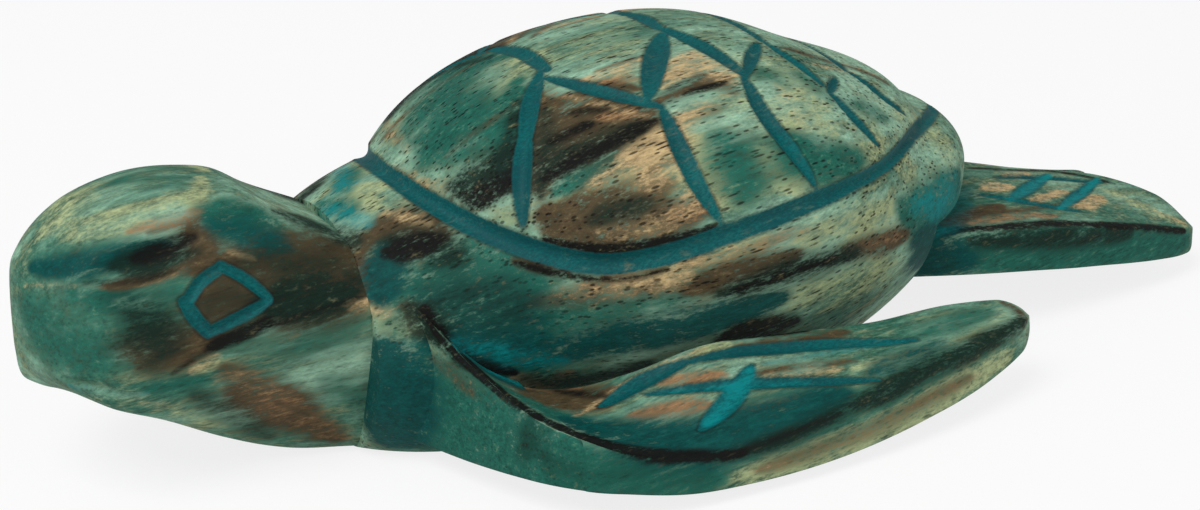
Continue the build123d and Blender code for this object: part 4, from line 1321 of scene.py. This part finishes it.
class Value:
    """One shader socket that takes part in Python sums: each sum adds a Math node."""

    def __init__(self, bench: "Bench", socket: bpy.types.NodeSocket) -> None:
        """Wrap a socket of a bench's material."""
        self.bench = bench
        self.socket = socket

    def __add__(self, other: Any) -> "Value":
        """Sum."""
        return self.bench.math("ADD", self, other)

    __radd__ = __add__

    def __sub__(self, other: Any) -> "Value":
        """Difference."""
        return self.bench.math("SUBTRACT", self, other)

    def __rsub__(self, other: Any) -> "Value":
        """Difference from a number."""
        return self.bench.math("SUBTRACT", other, self)

    def __mul__(self, other: Any) -> "Value":
        """Product."""
        return self.bench.math("MULTIPLY", self, other)

    __rmul__ = __mul__

    def step(self, low: float, high: float) -> "Value":
        """Smooth ramp from 0 at low to 1 at high."""
        node = self.bench.node(
            "ShaderNodeMapRange", {"interpolation_type": "SMOOTHSTEP"},
            {"Value": self, "From Min": low, "From Max": high},
        )
        return Value(self.bench, node.outputs[0])


class Bench:
    """Workbench for one material: adds nodes, links them and sets the shader's plain numbers."""

    def __init__(self, name: str) -> None:
        """Start an empty material.

        Args:
            name: name of the material.
        """
        self.material = bpy.data.materials.new(name)
        self.material.use_nodes = True
        self.tree = self.material.node_tree
        self.tree.nodes.clear()

    def node(self, kind: str, settings: Dict[str, Any], inputs: Dict[Any, Any]) -> bpy.types.Node:
        """Add one node.

        Args:
            kind: Blender's name of the node type.
            settings: its settings, set before its sockets.
            inputs: value, Value or socket for each input, by name or number.

        Returns:
            The node.
        """
        node = self.tree.nodes.new(kind)
        for key, setting in settings.items():
            setattr(node, key, setting)
        for key, given in inputs.items():
            source = given.socket if isinstance(given, Value) else given
            if isinstance(source, bpy.types.NodeSocket):
                self.tree.links.new(source, node.inputs[key])
            else:
                node.inputs[key].default_value = source
        return node

    def math(self, operation: str, first: Any, second: Any) -> Value:
        """Sum of two values or numbers, worked out by a Math node."""
        node = self.node("ShaderNodeMath", {"operation": operation}, {0: first, 1: second})
        return Value(self, node.outputs[0])

    def surface(self, shader: bpy.types.Node) -> bpy.types.Material:
        """Material with a shader as its surface."""
        self.node("ShaderNodeOutputMaterial", {}, {"Surface": shader.outputs[0]})
        return self.material

    def mix(self, first: Any, second: Any, factor: Any) -> bpy.types.NodeSocket:
        """Colour between two colours."""
        node = self.node("ShaderNodeMix", {"data_type": "RGBA"}, {0: factor, 6: first, 7: second})
        return node.outputs[2]

    def grain(self, scale: Point, lean: float) -> bpy.types.NodeSocket:
        """Object coordinates in millimetres, leaned with the grain and then scaled along each axis.

        Args:
            scale: scale along each axis, per millimetre.
            lean: degrees by which the grain climbs towards the tail.

        Returns:
            The coordinates.
        """
        place = self.node("ShaderNodeTexCoord", {}, {})
        turned = self.node(
            "ShaderNodeMapping", {"vector_type": "POINT"},
            {"Vector": place.outputs["Object"], "Rotation": (math.radians(-lean), 0.0, 0.0)},
        )
        sized = self.node(
            "ShaderNodeVectorMath", {"operation": "MULTIPLY"},
            {0: turned.outputs[0], 1: tuple(number / MM for number in scale)},
        )
        return sized.outputs[0]

    def noise(self, vector: bpy.types.NodeSocket, detail: float, roughness: float = 0.55) -> Value:
        """Noise of unit size.

        Args:
            vector: coordinates.
            detail: number of finer layers.
            roughness: share of the finer layers.

        Returns:
            The noise, about 0.5 in the mean.
        """
        inputs = {"Vector": vector, "Scale": 1.0, "Detail": detail, "Roughness": roughness}
        node = self.node("ShaderNodeTexNoise", {}, inputs)
        return Value(self, node.outputs["Fac"])

    def scaled(self, colour: bpy.types.NodeSocket, share: Value) -> bpy.types.NodeSocket:
        """Colour with its light multiplied."""
        node = self.node("ShaderNodeVectorMath", {"operation": "SCALE"}, {0: colour, "Scale": share})
        return node.outputs[0]

    def attribute(self, name: str) -> Value:
        """Number that the mesh carries under a name."""
        node = self.node("ShaderNodeAttribute", {"attribute_name": name}, {})
        return Value(self, node.outputs["Fac"])


def paint_colour(red: int, green: int, blue: int) -> Colour:
    """Colour written as seen, turned into the linear light that shaders use.

    Args:
        red: share of red, from 0 to 255.
        green: share of green, from 0 to 255.
        blue: share of blue, from 0 to 255.

    Returns:
        The linear colour, opaque.
    """
    shares = [number / 255.0 for number in (red, green, blue)]
    linear = [c / 12.92 if c <= 0.04045 else ((c + 0.055) / 1.055) ** 2.4 for c in shares]
    return linear[0], linear[1], linear[2], 1.0


@dataclass(frozen=True)
class WashedWood:
    """Open-pored wood with a blue-green wash rubbed into it and colours brushed over it.

    Attributes:
        name: name of the material.
        openness: how strongly the pores show, from 0 to 1.
        paleness: how much of the ground is pale sage instead of green, from 0 to 1.
        wear: how broken the brushed colours are, from 0 to 1.
        lean: degrees by which the grain climbs towards the tail.
        sage: light tone of the ground.
        green: dark tone of the ground.
        straw: wood that shows where the wash is rubbed off.
        pore: dirt in the pores, and painted shade along the edges of the cuts.
        line_paint: dark tone of the paint in the cuts.
        line_light: light tone of the paint in the cuts.
        bright: thick dabs of paint on top.
        colours: colour of each brushed wash, from the lowest layer to the top one.
    """

    name: str
    openness: float = 1.0
    paleness: float = 0.6
    wear: float = 1.0
    lean: float = 8.0
    sage: Colour = paint_colour(144, 184, 158)
    green: Colour = paint_colour(56, 110, 92)
    straw: Colour = paint_colour(156, 150, 108)
    pore: Colour = paint_colour(16, 16, 12)
    line_paint: Colour = paint_colour(2, 72, 76)
    line_light: Colour = paint_colour(4, 100, 100)
    bright: Colour = paint_colour(2, 130, 132)
    colours: Tuple[Tuple[Wash, Colour], ...] = (
        (Wash.PALE, paint_colour(154, 166, 124)),
        (Wash.TEAL, paint_colour(26, 94, 80)),
        (Wash.BROWN, paint_colour(78, 64, 43)),
        (Wash.RUST, paint_colour(138, 106, 74)),
        (Wash.TAN, paint_colour(182, 158, 116)),
        (Wash.DEEP, paint_colour(0, 70, 67)),
        # The SHADE colour is partly patina and partly painted shade; the BLACK colour is partly stain and
        # partly painted shadow
        (Wash.SHADE, paint_colour(14, 38, 30)),
        (Wash.BLACK, paint_colour(12, 13, 11)),
    )

    def build(self) -> bpy.types.Material:
        """Make the material: ground, washes, pores and line paint, then roughness and bump.

        Returns:
            The material.
        """
        bench = Bench(self.name)
        cloud = bench.noise(bench.grain((0.09, 0.04, 0.09), self.lean), 3.0)
        streak = bench.noise(bench.grain((0.6, 0.08, 0.6), self.lean), 4.0, 0.6)
        fibre = bench.noise(bench.grain((2.6, 0.34, 2.6), self.lean), 4.0, 0.65)
        speck = bench.noise(bench.grain((4.6, 1.9, 4.6), self.lean), 3.0, 0.65)
        mottle = bench.noise(bench.grain((1.2, 0.5, 1.2), self.lean), 3.0, 0.6)
        ragged = 1 + self.wear * (
            (streak - 0.5) * 1.6 + (mottle - 0.5) * 1.4 + (fibre - 0.5) * 1.9 + (speck - 0.5) * 1.3
        )

        middle = 0.3 + 0.5 * self.paleness
        tone = (cloud * 0.7 + streak * 0.4 + fibre * 0.12).step(middle - 0.12, middle + 0.12)
        colour = bench.mix(self.sage, self.green, tone)
        colour = bench.mix(colour, self.straw, (streak * 0.7 + fibre * 0.5).step(0.54, 0.8) * 0.55)
        for wash, paint in self.colours:
            cover = (bench.attribute(wash.value) * ragged).step(0.14, 0.8)
            colour = bench.mix(colour, paint, cover * 0.98)
        filled = bench.attribute(Wash.DEEP.value) * 0.95
        rubbed = (mottle * 0.5 + fibre * 0.3 + speck * 0.2).step(0.54, 0.7) * (1 - filled)
        colour = bench.mix(colour, self.straw, rubbed * (0.12 + 0.2 * self.openness))

        dashes = self.pores(bench, (1.9, 0.26, 1.9), 0.2, 0.3) * streak.step(0.4, 0.6)
        long_pores = self.pores(bench, (1.3, 0.36, 1.3), 0.17, 0.42) * 0.95
        short_pores = self.pores(bench, (2.0, 0.62, 2.0), 0.2, 0.36) * 0.85
        deepest = bench.math("MAXIMUM", dashes, bench.math("MAXIMUM", long_pores, short_pores))
        open_pore = deepest * self.openness * (0.45 + 0.75 * streak) * (1 - filled)
        light = 0.46 + (fibre * 0.4 + speck * 0.28 + mottle * 0.32).step(0.32, 0.68) * 0.92
        colour = bench.scaled(colour, light)
        colour = bench.mix(colour, self.pore, open_pore)

        bright = (bench.attribute(Wash.BRIGHT.value) * ragged).step(0.15, 0.8)
        line = bench.attribute("line") + (speck - 0.5) * 0.25 + (fibre - 0.5) * 0.2
        # Painted shade: the pore colour darkens a thin band beside every painted line, for the shadow at the
        # edges of the cuts
        rim = (1 - line.step(0.02, 0.4)) * (0.3 + streak * 0.8)
        colour = bench.mix(colour, self.pore, rim * 0.75)
        painted = 1 - line.step(-0.16, 0.12)
        paint = bench.mix(self.line_paint, self.line_light, (cloud * 0.5 + speck * 0.6).step(0.45, 0.75))
        worn = (mottle * 0.5 + fibre * 0.5).step(0.52, 0.72)
        colour = bench.mix(colour, paint, painted * (0.97 - worn * 0.35))
        colour = bench.mix(colour, self.bright, bright * 0.85)

        height = fibre * 0.5 + speck * 0.35 - open_pore * (1 - painted) * 0.9
        bump = bench.node("ShaderNodeBump", {}, {"Strength": 0.6, "Distance": 0.15 * MM, "Height": height})
        rough = 0.68 + (speck - 0.5) * 0.2 + open_pore * 0.15 - painted * 0.12
        shader = bench.node(
            "ShaderNodeBsdfPrincipled", {},
            {"Base Color": colour, "Roughness": rough, "Normal": bump.outputs[0], "Specular IOR Level": 0.12},
        )
        return bench.surface(shader)

    def pores(self, bench: Bench, scale: Point, radius: float, kept: float) -> Value:
        """Scattered pores: the middles of stretched Voronoi cells, of which a share is kept.

        Args:
            bench: workbench of the material.
            scale: cells per millimetre along each axis of the grain.
            radius: size of a pore as a share of its cell.
            kept: level that a cell's own random number has to pass.

        Returns:
            1 in a pore and 0 beside it.
        """
        place = bench.grain(scale, self.lean)
        cells = bench.node("ShaderNodeTexVoronoi", {}, {"Vector": place, "Scale": 1.0})
        chosen = Value(bench, cells.outputs["Color"]).step(kept, kept + 0.08)
        return (1 - Value(bench, cells.outputs["Distance"]).step(radius * 0.7, radius * 1.5)) * chosen


@dataclass(frozen=True)
class DowelWood:
    """Bare turned dowel rod: pale wood with fine straight grain.

    Attributes:
        name: name of the material.
        pale: wood between the fibres.
        brown: wood of the fibres.
    """

    name: str = "bare_dowel"
    pale: Colour = paint_colour(206, 174, 128)
    brown: Colour = paint_colour(164, 122, 78)

    def build(self) -> bpy.types.Material:
        """Make the material: two wood tones along the grain, with its roughness and bump.

        Returns:
            The material.
        """
        bench = Bench(self.name)
        fibre = bench.noise(bench.grain((1.8, 0.22, 1.8), 0.0), 4.0, 0.6)
        ring = bench.noise(bench.grain((0.7, 0.06, 0.7), 0.0), 2.0)
        colour = bench.mix(self.pale, self.brown, (fibre * 0.6 + ring * 0.4).step(0.38, 0.64))
        bump = bench.node("ShaderNodeBump", {}, {"Strength": 0.4, "Distance": 0.1 * MM, "Height": fibre})
        shader = bench.node(
            "ShaderNodeBsdfPrincipled", {},
            {"Base Color": colour, "Roughness": 0.6 + fibre * 0.25, "Normal": bump.outputs[0]},
        )
        return bench.surface(shader)

    def dress(self, nodes: Sequence[str]) -> None:
        """Put the finish on the slots of some CAD nodes, which keep their shape and place.

        Args:
            nodes: names of the nodes.
        """
        wood = self.build()
        for name in nodes:
            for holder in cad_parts[name].material_slots:
                holder.material = wood
            log.info("%s keeps its CAD shape and gets bare dowel wood", name)


@dataclass(frozen=True)
class Studio:
    """White table top, soft lamps and the camera.

    Attributes:
        azimuth: degrees from the head's end round to the camera, towards the left side.
        elevation: degrees that the camera looks down.
        distance: from the camera to the target.
        target: point that the camera looks at.
        pixels_per_mm: scale of the picture at the target.
        frame_width: width of the picture in pixels.
        sensor: width of the camera's sensor.
        table: half width of the table top, in metres.
        table_points: number of points along each side of the table top.
        glow: share of the table top's white that is its own light.
        sky: strength of the white sky.
    """

    azimuth: float = 60.7
    elevation: float = 21.7
    distance: float = 247.0
    target: Point = (0.0, -6.8, 12.76)
    pixels_per_mm: float = 9.0
    frame_width: int = 1200
    sensor: float = 36.0
    table: float = 1.6
    table_points: int = 9
    glow: float = 0.82
    sky: float = 0.36

    def camera(self) -> None:
        """Set the camera at the photograph's angle."""
        az, el = math.radians(self.azimuth), math.radians(self.elevation)
        back = Vector((math.sin(az) * math.cos(el), -math.cos(az) * math.cos(el), math.sin(el)))
        lens = bpy.data.cameras.new("camera")
        lens.sensor_fit = "HORIZONTAL"
        lens.sensor_width = self.sensor
        lens.lens = self.sensor * self.pixels_per_mm * self.distance / self.frame_width
        lens.clip_start, lens.clip_end = 0.01, 10.0
        eye = put("camera", lens)
        eye.location = (Vector(self.target) + back * self.distance) * MM
        eye.rotation_euler = back.to_track_quat("Z", "Y").to_euler()
        bpy.context.scene.camera = eye

    def floor(self) -> None:
        """Lay a pale table top that looks white to the camera and keeps a soft shadow."""
        bench = Bench("white_table")
        path = bench.node("ShaderNodeLightPath", {}, {})
        camera, glossy, through = (
            Value(bench, path.outputs[f"Is {kind} Ray"]) for kind in ("Camera", "Glossy", "Transmission")
        )
        seen = camera + glossy + through
        plain = bench.math("MINIMUM", seen, 1.0) * self.glow
        matt = bench.node("ShaderNodeBsdfDiffuse", {}, {"Color": (0.85, 0.85, 0.85, 1.0)})
        white = bench.node("ShaderNodeEmission", {}, {"Strength": 1.0})
        both = bench.node(
            "ShaderNodeMixShader", {}, {0: plain, 1: matt.outputs[0], 2: white.outputs[0]}
        )
        edge = np.linspace(-1.0, 1.0, self.table_points)
        u, v = np.meshgrid(edge, edge, indexing="ij")
        flat = np.stack([self.table * u, self.table * v, 0.0 * u], axis=-1).reshape(-1, 3)
        index = np.arange(u.size).reshape(u.shape)
        quads = np.stack([index[:-1, :-1], index[1:, :-1], index[1:, 1:], index[:-1, 1:]], axis=-1)
        mesh = bpy.data.meshes.new("table_top")
        mesh.from_pydata(flat.tolist(), [], quads.reshape(-1, 4).tolist())
        mesh.materials.append(bench.surface(both))
        put("table_top", mesh)

    def lamp(self, name: str, place: Point, size: float, power: float) -> None:
        """Hang one soft square lamp that looks at the turtle.

        Args:
            name: name of the lamp.
            place: where it hangs, in metres.
            size: its width, in metres.
            power: its power, in watts.
        """
        data = bpy.data.lights.new(name, "AREA")
        data.size = size
        data.energy = power
        lamp = put(name, data)
        lamp.location = place
        lamp.rotation_euler = Vector(place).to_track_quat("Z", "Y").to_euler()

    def make(self) -> None:
        """Set the table, the lamps, the sky and the camera."""
        scene = bpy.context.scene
        scene.view_settings.view_transform = "Standard"
        world = bpy.data.worlds.new("soft_sky")
        world.use_nodes = True
        world.node_tree.nodes["Background"].inputs["Color"].default_value = (1.0, 1.0, 1.0, 1.0)
        world.node_tree.nodes["Background"].inputs["Strength"].default_value = self.sky
        scene.world = world
        self.floor()
        self.lamp("key_lamp", (0.25, -0.5, 0.8), 0.5, 6.6)
        self.lamp("fill_lamp", (0.7, 0.35, 0.4), 0.6, 1.2)
        self.camera()


def main() -> None:
    """Build the turtle and its studio in order."""
    logging.basicConfig(level=logging.INFO, format="%(name)s: %(message)s")
    Body().make(WashedWood("washed_shell", openness=1.0, paleness=0.66, wear=0.8).build())
    Head(HEAD_STATIONS).make(WashedWood("washed_head", openness=0.3, paleness=0.54, wear=0.7).build())
    limb_wood = WashedWood("washed_limbs", openness=0.4, paleness=0.52, wear=0.85).build()
    shoulder = Limb("shoulder", "body", ARM_STATIONS, start=-39.0, end=-27.0, rings=90)
    shoulder.make(limb_wood, CREASE_LINES, ARM_STROKES + SHOULDER_STROKES + ELBOW_STROKES)
    front = Limb(
        "front_blade", "front_flipper_{side}", BLADE_STATIONS,
        start=-27.0, end=30.9, tip=3.0, rings=240,
    )
    front.make(limb_wood, CREASE_LINES + BLADE_LINES, BLADE_STROKES + ELBOW_STROKES + HOLLOW_RUST_AND_SHADOW_STROKES)
    rear = Limb(
        "rear_blade", "rear_flipper_{side}", REAR_STATIONS,
        start=25.5, end=71.6, tip=2.6, right_sag=1.2, rings=190,
    )
    rear.make(limb_wood, REAR_LINES, REAR_STROKES + TAIL_STROKES)
    DowelWood().dress(DOWELS)
    Studio().make()


if __name__ == "__main__":
    main()
